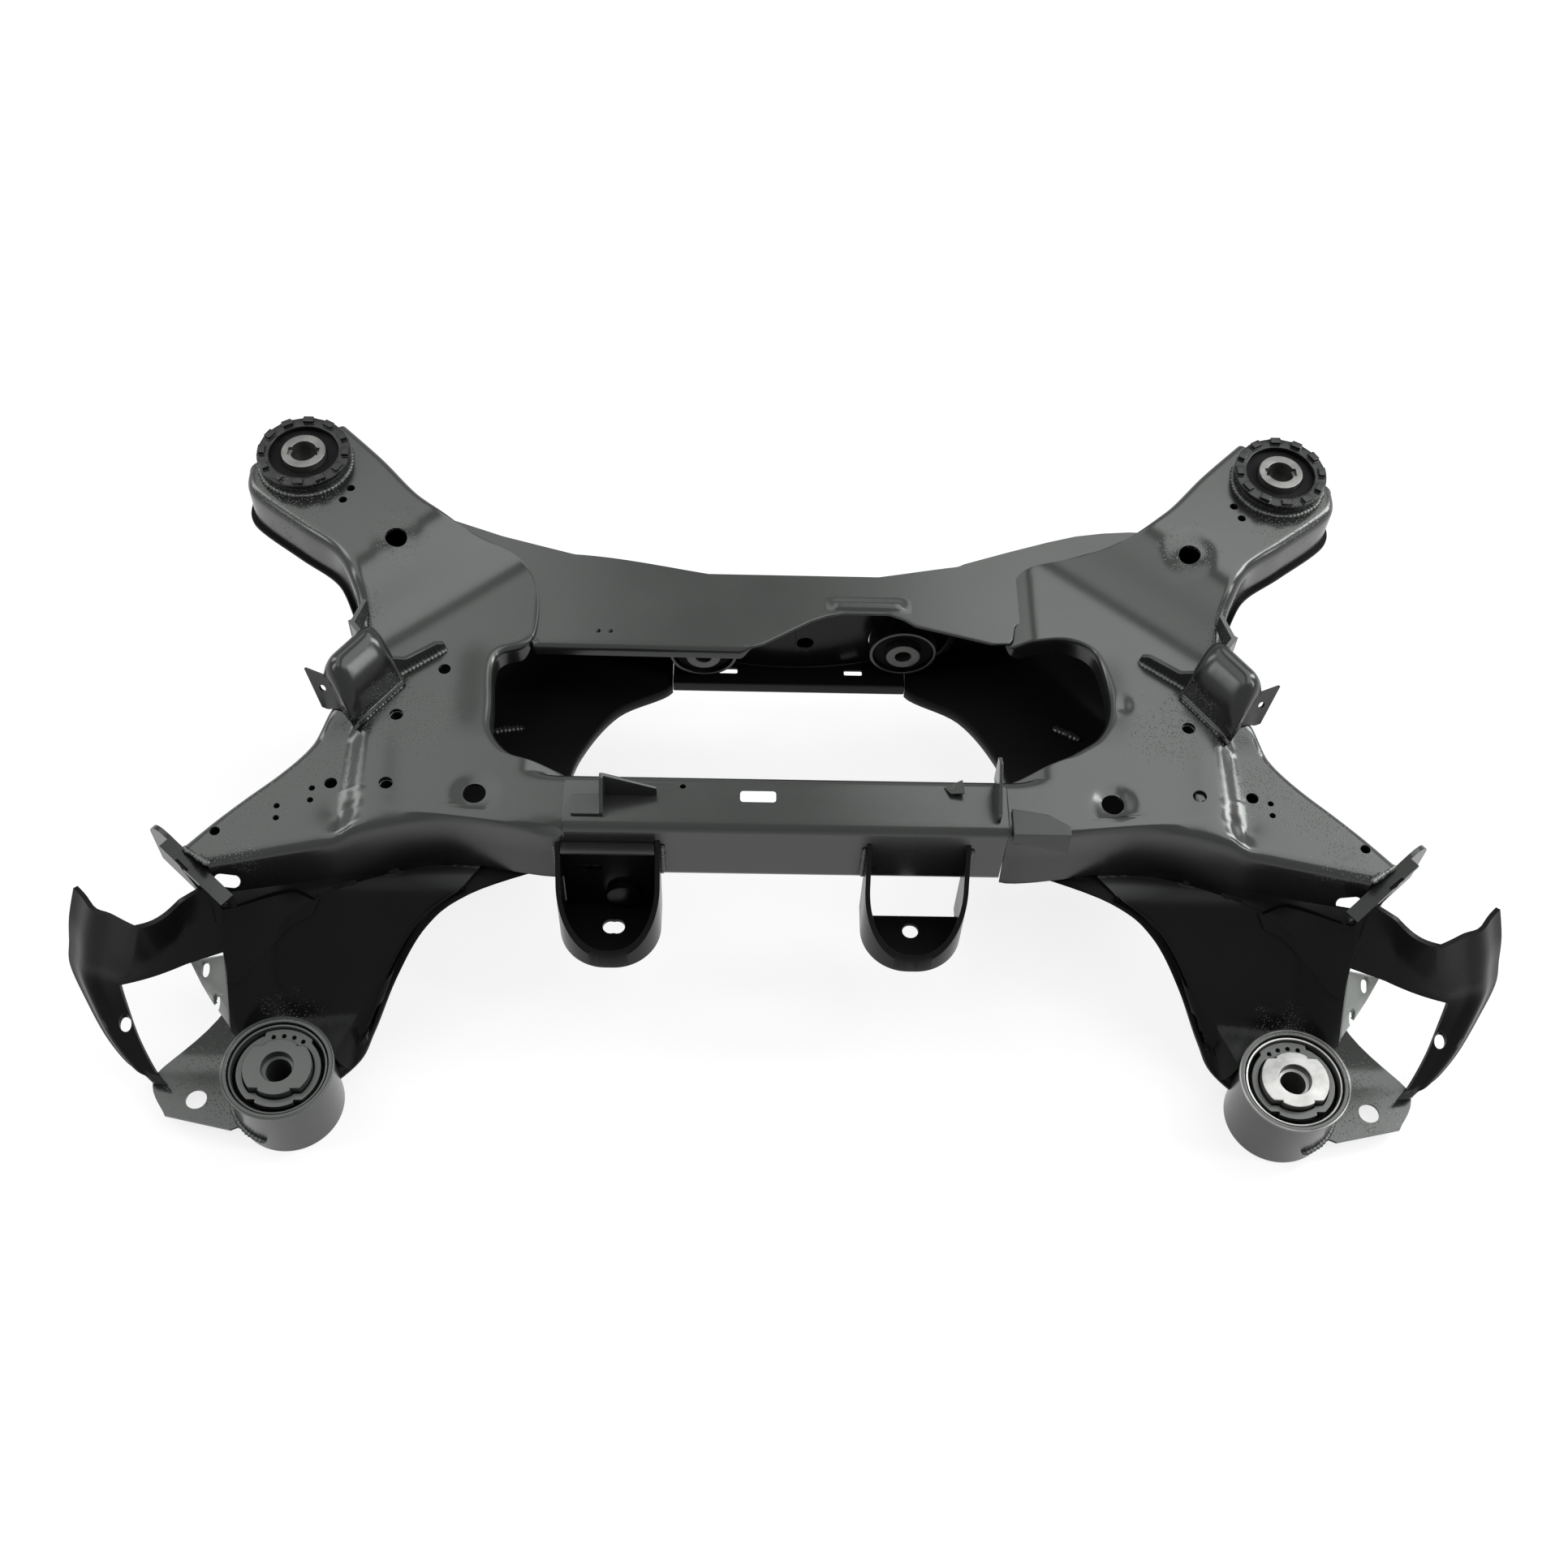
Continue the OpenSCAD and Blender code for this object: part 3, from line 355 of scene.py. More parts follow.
def sheet(name, grid, thickness, mat, side, angle=40):
    """A closed sheet from a grid of outer points (mm), thickened inward along the grid's own normals."""
    outer = np.asarray(grid, float)
    rows, columns, _ = outer.shape
    down = np.empty_like(outer)
    down[1:-1] = outer[2:] - outer[:-2]
    down[0], down[-1] = outer[1] - outer[0], outer[-1] - outer[-2]
    across = np.empty_like(outer)
    across[:, 1:-1] = outer[:, 2:] - outer[:, :-2]
    across[:, 0], across[:, -1] = outer[:, 1] - outer[:, 0], outer[:, -1] - outer[:, -2]
    normal = np.cross(across, down)
    normal /= np.maximum(np.linalg.norm(normal, axis=2, keepdims=True), 1e-9)
    verts = np.concatenate([outer.reshape(-1, 3), (outer - thickness * normal).reshape(-1, 3)]) * MM
    back = rows * columns
    faces = []
    for i in range(rows - 1):
        for j in range(columns - 1):
            a = i * columns + j
            b = a + columns
            faces.append((a, a + 1, b + 1, b))
            faces.append((back + a, back + b, back + b + 1, back + a + 1))
    for i in range(rows - 1):
        a, b = i * columns, (i + 1) * columns
        faces.append((a, b, back + b, back + a))
        faces.append((b + columns - 1, b - 1, back + b - 1, back + b + columns - 1))
    for j in range(columns - 1):
        a, b = j, (rows - 1) * columns + j
        faces.append((a + 1, a, back + a, back + a + 1))
        faces.append((b, b + 1, back + b + 1, back + b))
    if side < 0:
        verts[:, 0] *= -1
        faces = flip(faces)
    return new_object(name, verts, faces, mat, angle)


def cylinder_mesh(centre, axis, radius, height, pull=(0, 0, 0), count=40):
    """Vertices and faces of a closed cylinder (mm), pulled apart into an oblong by the given step."""
    z = Vector(axis).normalized()
    turn = z.to_track_quat("Z", "Y").to_matrix()
    v = []
    for end in (-0.5, 0.5):
        for i in range(count):
            a = 2 * math.pi * i / count
            w = turn @ Vector((radius * math.cos(a), radius * math.sin(a), 0))
            apart = Vector(pull) * math.copysign(1, w.dot(Vector(pull)))
            v.append((w + z * (end * height) + Vector(centre) + apart) * MM)
    return v, loop_faces(2, count, False)


def bake(piece):
    """Make the modifiers part of the mesh."""
    evaluated = piece.evaluated_get(bpy.context.evaluated_depsgraph_get())
    mesh = bpy.data.meshes.new_from_object(evaluated)
    old = piece.data
    piece.modifiers.clear()
    piece.data = mesh
    bpy.data.meshes.remove(old)


def cut_holes(piece, cylinders, crossing=False):
    """Cut holes, each given as centre, axis, radius, length and sometimes pull, in mm."""
    verts, faces = [], []
    for cylinder in cylinders:
        more_verts, more_faces = cylinder_mesh(*cylinder)
        faces += [tuple(len(verts) + i for i in q) for q in more_faces]
        verts += more_verts
    mesh = bpy.data.meshes.new("cutter")
    mesh.from_pydata(verts, [], faces)
    cutter = bpy.data.objects.new("cutter", mesh)
    bpy.context.scene.collection.objects.link(cutter)
    cut = piece.modifiers.new("holes", "BOOLEAN")
    cut.object = cutter
    cut.operation = "DIFFERENCE"
    cut.solver = "EXACT"
    cut.use_self = crossing
    bake(piece)
    bpy.data.objects.remove(cutter)
    bpy.data.meshes.remove(mesh)
    piece.data.set_sharp_from_angle(angle=math.radians(40))


def put(piece, slot, *replaced):
    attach(piece, "root")
    if replaced:
        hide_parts(*replaced)
    return piece


# Node helpers
def tree(name):
    material = bpy.data.materials.new(name)
    material.use_nodes = True
    graph = material.node_tree
    graph.nodes.clear()
    out = graph.nodes.new("ShaderNodeOutputMaterial")
    shader = graph.nodes.new("ShaderNodeBsdfPrincipled")
    graph.links.new(shader.outputs[0], out.inputs[0])
    return material, graph, shader


def add(graph, kind, **values):
    """New node; each value goes to the input of that name, or else to the node's own setting."""
    node = graph.nodes.new(kind)
    for word, value in values.items():
        if word in node.inputs.keys():
            node.inputs[word].default_value = value
        else:
            setattr(node, word, value)
    return node


def object_place(graph):
    return add(graph, "ShaderNodeTexCoord").outputs["Object"]


def noise(graph, place, scale, detail=3.0):
    node = add(graph, "ShaderNodeTexNoise", Scale=scale, Detail=detail, Roughness=0.55)
    graph.links.new(place, node.inputs["Vector"])
    return node.outputs["Fac"]


def ramp(graph, factor, stops):
    node = add(graph, "ShaderNodeValToRGB")
    elements = node.color_ramp.elements
    while len(elements) < len(stops):
        elements.new(0.5)
    for element, (position, colour) in zip(elements, stops):
        element.position = position
        element.color = (*colour, 1)
    graph.links.new(factor, node.inputs["Fac"])
    return node.outputs["Color"]


def grey(v):
    return (v, v, v)


def grey_ramp(graph, factor, low, high):
    return ramp(graph, factor, [(0.3, grey(low)), (0.7, grey(high))])


def math_node(graph, operation, a, b=None):
    node = add(graph, "ShaderNodeMath", operation=operation)
    graph.links.new(a, node.inputs[0])
    if isinstance(b, (int, float)):
        node.inputs[1].default_value = b
    elif b is not None:
        graph.links.new(b, node.inputs[1])
    return node.outputs[0]


def map_range(graph, value, span, to=(0.0, 1.0)):
    node = add(graph, "ShaderNodeMapRange")
    for word, number in zip(("From Min", "From Max", "To Min", "To Max"), (*span, *to)):
        node.inputs[word].default_value = number
    graph.links.new(value, node.inputs["Value"])
    return node.outputs["Result"]


def mix_colour(graph, factor, below, above):
    """Lay a plain colour over another output."""
    node = add(graph, "ShaderNodeMix", data_type="RGBA")
    graph.links.new(factor, node.inputs[0])
    graph.links.new(below, node.inputs[6])
    node.inputs[7].default_value = (*above, 1)
    return node.outputs[2]


def split(graph, place):
    node = add(graph, "ShaderNodeSeparateXYZ")
    graph.links.new(place, node.inputs[0])
    return node.outputs


def bump(graph, shader, layers):
    """Chain of bumps, each a height output, a strength and a distance in metres."""
    last = None
    for height, strength, distance in layers:
        node = add(graph, "ShaderNodeBump", Strength=strength, Distance=distance)
        graph.links.new(height, node.inputs["Height"])
        if last is not None:
            graph.links.new(last, node.inputs["Normal"])
        last = node.outputs["Normal"]
    graph.links.new(last, shader.inputs["Normal"])


# Coat: places with weld spatter as x, y, z and radius in millimetres, and the tints of the paint's clouds
WELD_SPOTS = [(322, 262, 200, 34), (350, 240, 196, 26), (352, 330, 218, 30), (402, 52, 45, 40),
              (455, 8, 18, 60), (300, 240, 200, 44), (372, 200, 190, 40), (420, 172, 190, 40),
              (330, 402, 236, 34), (430, 128, 190, 34), (414, 440, 238, 46), (446, 470, 236, 34),
              (474, 60, 45, 26)]
CLOUD_TINTS = ((0.3, (0.85, 0.9, 0.86)), (0.5, (1.0, 1.06, 1.0)), (0.72, (1.25, 1.34, 1.26)))
# Pale grey of the weld spatter: grit, and painted glints
SPATTER_AND_GLINT_COLOUR = (0.42, 0.42, 0.4)

# Painted shade below the deck: where the middle of the frame keeps part of its gloss, in metres, and the
# shares of gloss and colour that are kept
CENTRE_X = (0.25, 0.34)
CENTRE_Z = (0.118, 0.132)
CENTRE_SHARE = 0.62
SHADE_COLOUR_SHARE = 0.35


def painted_shade_by_height(graph, place, shine, shaded_shine, span, centre):
    """Painted shade: gloss that falls off below the deck, where shade falls; the middle of the frame keeps
    part of it further down.
    """
    x, _, z = split(graph, place)
    level = map_range(graph, z, span, (shaded_shine, shine))
    if centre:
        middle = map_range(graph, math_node(graph, "ABSOLUTE", x), CENTRE_X, (shine * CENTRE_SHARE, 0.0))
        lift = math_node(graph, "MULTIPLY", middle, map_range(graph, z, CENTRE_Z))
        level = math_node(graph, "MAXIMUM", level, lift)
    return level


def near_welds(graph, place, patch):
    """1 near the weld spots of both sides, with a ragged edge."""
    x, y, z = split(graph, place)
    folded = add(graph, "ShaderNodeCombineXYZ")
    for output, socket in zip((math_node(graph, "ABSOLUTE", x), y, z), folded.inputs):
        graph.links.new(output, socket)
    near = None
    for *spot, radius in WELD_SPOTS:
        away = add(graph, "ShaderNodeVectorMath", operation="DISTANCE")
        graph.links.new(folded.outputs[0], away.inputs[0])
        away.inputs[1].default_value = [k * MM for k in spot]
        radii = math_node(graph, "MULTIPLY", away.outputs["Value"], 1.0 / (radius * MM))
        near = radii if near is None else math_node(graph, "MINIMUM", near, radii)
    reach = math_node(graph, "ADD", near, math_node(graph, "MULTIPLY", patch, 1.6))
    return ramp(graph, math_node(graph, "MULTIPLY", reach, 0.5), [(0.55, grey(1.0)), (0.78, grey(0.0))])


def coat(name, base=0.012, rough=(0.19, 0.26), peel=0.05, grit=0.04, spatter=0.75, everywhere=False,
         shine=0.5, shaded_shine=None, span=(0.13, 0.188), centre=False):
    """Black dipped paint: slight orange peel, faint cloudiness and weld spatter near the seams, the spatter
    lightened in colour as grit and as painted glints; given shaded_shine, gloss and colour fall off below the
    deck as painted shade.
    """
    material, graph, shader = tree(name)
    place = object_place(graph)
    cloud = noise(graph, place, 7)
    colour = ramp(graph, cloud, [(at, [base * k for k in tint]) for at, tint in CLOUD_TINTS])
    graph.links.new(grey_ramp(graph, cloud, *rough), shader.inputs["Roughness"])
    shader.inputs["Specular IOR Level"].default_value = shine
    shader.inputs["Specular Tint"].default_value = (0.95, 1.0, 0.965, 1)
    # Painted shade: specular level and colour fall off with height below the deck
    if shaded_shine is not None:
        level = painted_shade_by_height(graph, place, shine, shaded_shine, span, centre)
        graph.links.new(level, shader.inputs["Specular IOR Level"])
        share = math_node(graph, "MULTIPLY", level, (1 - SHADE_COLOUR_SHARE) / shine)
        shaded_colour = add(graph, "ShaderNodeVectorMath", operation="SCALE")
        graph.links.new(colour, shaded_colour.inputs[0])
        graph.links.new(math_node(graph, "ADD", share, SHADE_COLOUR_SHARE), shaded_colour.inputs["Scale"])
        colour = shaded_colour.outputs[0]
    cells = add(graph, "ShaderNodeTexVoronoi", Scale=520.0)
    graph.links.new(place, cells.inputs["Vector"])
    dots = ramp(graph, cells.outputs["Distance"], [(0.0, grey(1.0)), (0.3, grey(0.0))])
    patch = noise(graph, place, 75)
    if everywhere:
        keep = ramp(graph, patch, [(0.4, grey(0.0)), (0.52, grey(1.0))])
    else:
        keep = near_welds(graph, place, patch)
    spatter_and_glint_specks = math_node(graph, "MULTIPLY", dots, keep)
    # Spatter lightened towards pale grey: grit, and painted glints
    colour = mix_colour(graph, math_node(graph, "MULTIPLY", spatter_and_glint_specks, spatter * 0.5), colour, SPATTER_AND_GLINT_COLOUR)
    graph.links.new(colour, shader.inputs["Base Color"])
    orange_peel, fine_grit = noise(graph, place, 160, 2), noise(graph, place, 900, 2)
    bump(graph, shader, [(orange_peel, peel, 0.0006), (fine_grit, grit, 0.0002), (spatter_and_glint_specks, spatter, 0.0009)])
    return material


def rubber(name):
    material, graph, shader = tree(name)
    place = object_place(graph)
    cloud = noise(graph, place, 45, 4)
    colour = ramp(graph, cloud, [(0.3, grey(0.003)), (0.7, (0.009, 0.009, 0.01))])
    graph.links.new(colour, shader.inputs["Base Color"])
    graph.links.new(grey_ramp(graph, cloud, 0.5, 0.72), shader.inputs["Roughness"])
    shader.inputs["Specular IOR Level"].default_value = 0.05
    bump(graph, shader, [(noise(graph, place, 500, 2), 0.25, 0.0004)])
    return material


def steel(name, tint, rough, stain=0.0):
    """Bare or phosphated metal with fine marks, patchy tone and optional brown stain."""
    material, graph, shader = tree(name)
    place = object_place(graph)
    cloud = noise(graph, place, 55, 5)
    dark = [k * 0.62 for k in tint]
    light = [min(1, k * 1.35) for k in tint]
    colour = ramp(graph, cloud, [(0.3, dark), (0.52, tint), (0.75, light)])
    if stain:
        stops = [(0.56 - 0.2 * stain, grey(0)), (0.7 - 0.2 * stain, grey(1))]
        stained = ramp(graph, noise(graph, place, 70, 5), stops)
        colour = mix_colour(graph, stained, colour, (0.11, 0.055, 0.025))
    graph.links.new(colour, shader.inputs["Base Color"])
    shader.inputs["Metallic"].default_value = 0.85
    graph.links.new(grey_ramp(graph, cloud, *rough), shader.inputs["Roughness"])
    bump(graph, shader, [(noise(graph, place, 600), 0.12, 0.0004)])
    return material


def label_paper(name):
    material, graph, shader = tree(name)
    cloud = noise(graph, object_place(graph), 60)
    colour = ramp(graph, cloud, [(0.3, (0.62, 0.64, 0.64)), (0.7, (0.78, 0.79, 0.78))])
    graph.links.new(colour, shader.inputs["Base Color"])
    graph.links.new(grey_ramp(graph, cloud, 0.35, 0.5), shader.inputs["Roughness"])
    bump(graph, shader, [(cloud, 0.1, 0.0005)])
    return material


# Materials
M_COAT = coat("black_coat")
# Darker, less glossy copy of the coat: painted shade for forks, web patches, far corners, the wall cup and
# hangers
M_SHADE = coat("black_coat_painted_shade", base=0.004, rough=(0.2, 0.28), shine=0.08)
# Side tops and legs: gloss and colour fall off below the deck as painted shade, less so in the middle of the
# frame
M_BODY_SHADED = coat("black_coat_body_painted_shade", base=0.010, shaded_shine=0.07, centre=True)
# Lower skins darker and less glossy higher up inside the arms, as painted shade; the low seat keeps its gloss
M_PAN_SHADED = coat("black_coat_pan_painted_shade", base=0.02, shaded_shine=0.02, span=(0.075, 0.045))
# Darker copy of the coat for the rear wall: painted shade
M_WALL_SHADED = coat("black_coat_wall_painted_shade", base=0.006, rough=(0.2, 0.28), shine=0.12)
M_RING = coat("black_coat_ring", base=0.005, rough=(0.14, 0.2), shine=0.22)
# Black-coated cheek plates painted light grey: painted reflection of the white floor
M_CHEEK_PAINTED_LIGHT = coat("black_coat_cheek_painted_reflection", base=0.17, rough=(0.25, 0.33), shine=0.6)
M_TAB = coat("black_coat_tab", base=0.014, rough=(0.22, 0.3), peel=0.12, shine=0.3)
M_ROUGH = coat("black_coat_spatter", base=0.016, rough=(0.24, 0.36), peel=0.1, grit=0.2, everywhere=True)
M_WELD = coat("black_coat_weld", base=0.022, rough=(0.18, 0.3), peel=0.3, grit=0.4, everywhere=True)
M_SHINE = coat("black_coat_strap", base=0.006, rough=(0.18, 0.25), shine=0.38)
M_RUBBER = rubber("rubber")
M_DARK = coat("bush_dark", base=0.024, rough=(0.3, 0.4), spatter=0.0)
M_BUSH = steel("bush_metal", (0.085, 0.085, 0.083), (0.34, 0.5))
M_CORE = steel("far_core_metal", (0.125, 0.125, 0.12), (0.32, 0.46))
M_BARE = steel("bare_steel", (0.2, 0.2, 0.195), (0.3, 0.42))
M_RUST = steel("rust_flake", (0.17, 0.075, 0.035), (0.6, 0.8), stain=0.5)
M_LABEL = label_paper("label_paper")

# Side tops and lower skins, finer than the solids and with the pressed detail; holes as x, y and radius
TOP_HOLES = [(*ARM_HOLE, 9), (373, 451, 3.5), (378, 438, 3.5), (318, 246, 5.5), (319, 180, 5.5),
             (*DECK_HOLE, 9), (364, 186, 5), (378, 181, 2.5), (378, 170, 2.5), (447, 140, 4)]
LEFT_HOLES = [(284, 292, 5), (403, 164, 2.5), (402, 153, 2.5)]
TOP_RIBS = np.sort(np.append(np.linspace(0, LAST_RIB, 181), [12.002, 10.96, 11.04]))
CAMERA = (-53.0, -661.0, 1472.0)
CORNER = {-1: (-439.5, 113.3, 160.0), 1: (437.0, 108.0, 160.0)}
UP = (0, 0, 1)


def corner_slot(side):
    """Slot under the front corner, open along the photograph's line of sight."""
    centre = CORNER[side]
    return (centre, tuple(np.subtract(centre, CAMERA)), 5.0, 160, (5.5, 0.6 * side, 0))


for side, word in SIDES:
    inner = INNER_L if side < 0 else INNER_R
    grid = [top_profile(inner, s, side) for s in TOP_RIBS]
    piece = sheet(f"side_top_{word}_skin", grid, SHEET, M_BODY_SHADED, side)
    holes = TOP_HOLES + (LEFT_HOLES if side < 0 else [])
    cuts = [((side * u, v, float(z_deck(u, v))), UP, r, 50) for u, v, r in holes]
    cut_holes(piece, cuts + [corner_slot(side)])
    put(piece, "black_coat", f"side_top_{word}")

    grid = [floor_profile(s) for s in np.linspace(0, 19, 153)]
    piece = sheet(f"side_floor_{word}_skin", grid, SHEET, M_PAN_SHADED, side)
    cut_holes(piece, [((side * 475, -5, SEAT), UP, 8.5, 60), corner_slot(side)])
    put(piece, "black_coat", f"side_floor_{word}")

# Legs, flush under the front lip and cut round the near sleeves
for side, word in SIDES:
    grid = [leg_profile(k, side) for k in np.linspace(11, 0, 111)]
    piece = sheet(f"leg_{word}_skin", grid, SHEET, M_BODY_SHADED, side)
    for z, radius, height in ((80, 42.8, 200), (122, 44.4, 120)):
        cut_holes(piece, [((side * NEAR_X, 0, z), UP, radius, height)], crossing=True)
    put(piece, "black_coat", f"leg_{word}")

# Fork brackets: outer ear and web as one pressing, and the strut below them
EAR_OUT = [(549, 101, 170), (559, 94, 140), (566, 89, 110), (572, 83, 80), (562, 64, 55), (548, 43, 35),
           (530, 24, 22), (510, 6, 20.5)]
EAR_IN = [(504, 74, 158), (517, 70, 120), (526, 67, 98), (531, 65, 82), (528, 53, 60), (521, 36, 40),
          (509, 17, 24), (497, 4, 20.5)]
WEB_IN = [(455.2, 109.4, 162), (453.5, 103, 146), (452, 97, 130), (449.4, 85.5, 101)]

# Row where the ear ends and the strut starts, and how far ear and web bulge
EAR_FOOT = 3
EAR_BOW = 14
EAR_RIM = 5
WEB_DIP = 5


def fork_row(k):
    """Points across a fork: the ear, then the web towards the leg, which ends at the foot of the ear."""
    start, end = along(EAR_OUT, k), along(EAR_IN, k)
    fade = float(smooth((7 - k) / 3))
    rows = []
    for t in np.linspace(0, 1, EAR_POINTS):
        bow = EAR_BOW * t * (1 - t) * fade
        rim = EAR_RIM * math.exp(-((t - 0.38) / 0.16) ** 2) * fade
        rows.append(start + (end - start) * t + np.array([0, -bow - rim, 0.4 * bow + 0.5 * rim]))
    if k > EAR_FOOT:
        return rows
    web = along(WEB_IN, k)
    for t in np.linspace(0, 1, WEB_POINTS + 1)[1:]:
        dip = WEB_DIP * math.sin(math.pi * t * 1.6) if t < 0.625 else 0
        rows.append(end + (web - end) * t + np.array([0, -0.5, 0.15 - 0.9 * (1 - k / EAR_FOOT)]) * dip)
    return rows


for side, word in SIDES:
    upper = [fork_row(k) for k in np.linspace(EAR_FOOT, 0, 37)]
    piece = sheet(f"fork_{word}_upper", upper, PLATE, M_SHADE, side, 50)
    put(piece, "black_coat", f"fork_web_{word}")
    strut = [fork_row(k)[:EAR_POINTS] for k in np.linspace(7, EAR_FOOT, 49)]
    piece = sheet(f"fork_{word}_strut", strut, PLATE, M_SHADE, side, 50)
    cut_holes(piece, [((side * 531, 43, 45), UP, 5, 60)])
    put(piece, "black_coat", f"fork_outer_{word}")

# End of each web, laid over the leg face
PATCH_LIFT = np.array([-0.6, -2.6, 0.5])
WEB_LIFT = np.array([0, -2.2, 0.8])
WEB_LAP = np.array([9.0, 0, 0])
for side, word in SIDES:
    grid = []
    for k in np.linspace(2.7, 0.02, 34):
        face = leg_profile(k, side, 61)
        high = 0.1 - 0.05 * float(smooth(k / 2.2)) + 0.1 * float(smooth((k - 2.1) / 0.6))
        low = 0.62 - 0.3 * float(smooth((k - 0.2) / 2.2))
        grid.append([straight(face, t * 60) + PATCH_LIFT for t in np.linspace(high, low, 22)])
    edge = np.array(grid[-1])
    web = np.array([along(WEB_IN, EAR_FOOT * t) for t in np.linspace(0, 1, len(edge))]) + WEB_LIFT
    grid += [edge + (web - edge) * t + WEB_LAP * max(0, t - 1) for t in (0.35, 0.7, 1.0, 1.4, 2.0)]
    put(sheet(f"fork_{word}_patch", grid, 2.0, M_SHADE, side, 50), "black_coat")

# Fold between each leg edge and its cheek plate
CHEEK_IN = [(448.3, 82, 97.4), (448.1, 61, 71.4), (447.9, 42, 48.4)]
for side, word in SIDES:
    face = np.array(leg_profile(0.02, side, 61))[::-1]
    grid = []
    for t in np.linspace(0, 1, 15):
        y = 90 - 49 * t
        high = np.array([447.4, y, np.interp(y, face[:, 1], face[:, 2]) - 1.2])
        low = along(CHEEK_IN, 2 * t)
        grid.append([high + (low - high) * k for k in np.linspace(0, 1, 6)])
    put(sheet(f"cheek_{word}_fold", grid, 1.2, M_CHEEK_PAINTED_LIGHT, side, 50), "black_coat")

# Far corners: curtain from the arm's flange to the end of the rear wall, kept under the far panel
CURTAIN = [(330, 460), (314, 441.5), (296, 427.5), (274, 413.5), (256, 409), (240, 406),
           (228, 411), (209, 418)]
for side, word in SIDES:
    grid = []
    for k in np.linspace(0, 7, 57):
        u, v = along(CURTAIN, k)
        low = float(z_floor(u, v)) + 0.6
        under_panel = 195.6 + 40 * float(smooth((u - 246) / 20))
        high = min(float(z_deck(u, v, side)) - 3.4, under_panel)
        grid.append([(u, v - 1.2, low + (high - low) * t) for t in np.linspace(0, 1, 14)])
    put(sheet(f"far_corner_{word}", grid, 2.4, M_SHADE, side, 50), "black_coat")

# Far top panel as one pressing with a rolled near edge, cut-out, embossed pad and ends behind the arms
NEAR_EDGE = [(-292, 402), (-250, 385), (-237, 340), (-236, 336), (-222, 336), (-215, 321), (-44, 320),
             (-26, 326), (14, 351), (28, 357), (41, 360), (80, 360), (92, 355), (102, 348), (135, 339),
             (164, 331), (181, 331.5), (185, 352), (236, 352), (237, 356), (250, 385), (292, 402), (314, 410)]
FAR_WING = [(-292, 454), (-248, 437), (-206, 424.5), (-170, 414), (-150, 400), (120, 400), (145, 416),
            (183, 430), (219, 442.5), (244, 450), (268, 454), (292, 456), (314, 455)]
PANEL_TOP = 196.7
PAD_HEIGHT = 3.2
PANEL_POINTS = 36


def y_wall(x):
    """Face of the bowed rear wall."""
    return 392 + 27 * float(smooth(abs(x) / 200))


def panel_row(x):
    """Points across the far panel: rolled near edge, then the flat with its pad."""
    near = float(np.interp(x, *zip(*NEAR_EDGE)))
    far = max(y_wall(x), float(np.interp(x, *zip(*FAR_WING))))
    roll = float(smooth((x + 216) / 3) * smooth((-34 - x) / 10))
    r = 1.5 + 5.5 * roll
    rows = [(x, near, PANEL_TOP - r - 0.4 - 5.0 * roll)]
    for a in np.radians(np.linspace(0, 90, 8)):
        rows.append((x, near + r * (1 - math.cos(a)), PANEL_TOP - r + r * math.sin(a)))
    pad_x = smooth((x - 27) / 10) * smooth((97 - x) / 10)
    for k in range(1, PANEL_POINTS + 1):
        y = near + r + (far - near - r) * k / PANEL_POINTS
        pad = float(pad_x * smooth((y - 361) / 5) * smooth((378 - y) / 9))
        rows.append((x, y, PANEL_TOP + PAD_HEIGHT * pad))
    return rows


piece = sheet("far_panel_skin", [panel_row(x) for x in np.linspace(314, -292, 244)], SHEET, M_COAT, 1)
cut_holes(piece, [((x, 337, 196), UP, 2, 30) for x in (-162, -152)])
put(piece, "black_coat", "far_top_panel")

# Saddles: bent straps over the deck's edge, drawn in their own turned plan
SADDLE = [(-4.5, 0.4), (0, 1.8), (3.4, 9), (7.2, 19), (12.4, 28.6), (18.8, 36.4), (25.4, 41), (31.4, 41.6),
          (36.4, 37.6), (39.6, 29), (41, 17), (41.5, 0.2)]
FLANGE = [(44, -15, 0.6), (56.5, 6, 0.6), (55.5, 27, 22.5), (46.6, 10, 23.5)]
STRAP = 2.4


def saddle_plan(lx, ly):
    """Place in plan of a point in the saddle's own plan."""
    return 329 + 0.8 * lx + 0.6 * ly, 286 - 0.6 * lx + 0.8 * ly


def on_saddle(lx, ly, up=0.4):
    x, y = saddle_plan(lx, ly)
    return (x, y, float(z_deck(x, y, 1)) + up)


def near_foot(lx):
    return -14.6 - 0.29 * lx


def saddle_grid():
    """Skewed arch swept outward, rounded over at both ends."""
    quarter = np.radians(np.linspace(0, 90, 9))
    ends = [(-4.3, 0.0), (-4.2, 0.3), (-4.0, 0.6)]
    ends += [(-4 + 11 * (1 - math.cos(a)), 0.68 + 0.32 * math.sin(a)) for a in quarter]
    ends += [(x, 1.0) for x in range(11, 32, 4)]
    ends += [(34 + 12 * math.sin(a), 0.62 + 0.38 * math.cos(a)) for a in np.radians(np.linspace(0, 90, 11))]
    ends += [(46.1, 0.4), (46.2, 0.0)]
    grid = []
    for lx, share in ends:
        row = []
        for j in np.linspace(0, len(SADDLE) - 1, 56):
            away, height = along(SADDLE, j)
            x, y, z = on_saddle(lx, near_foot(lx) + away)
            foot = DECK + GAP + 0.3 if away > 2 else z
            row.append((x, y, foot + max(0, height) * share))
        grid.append(row)
    return grid


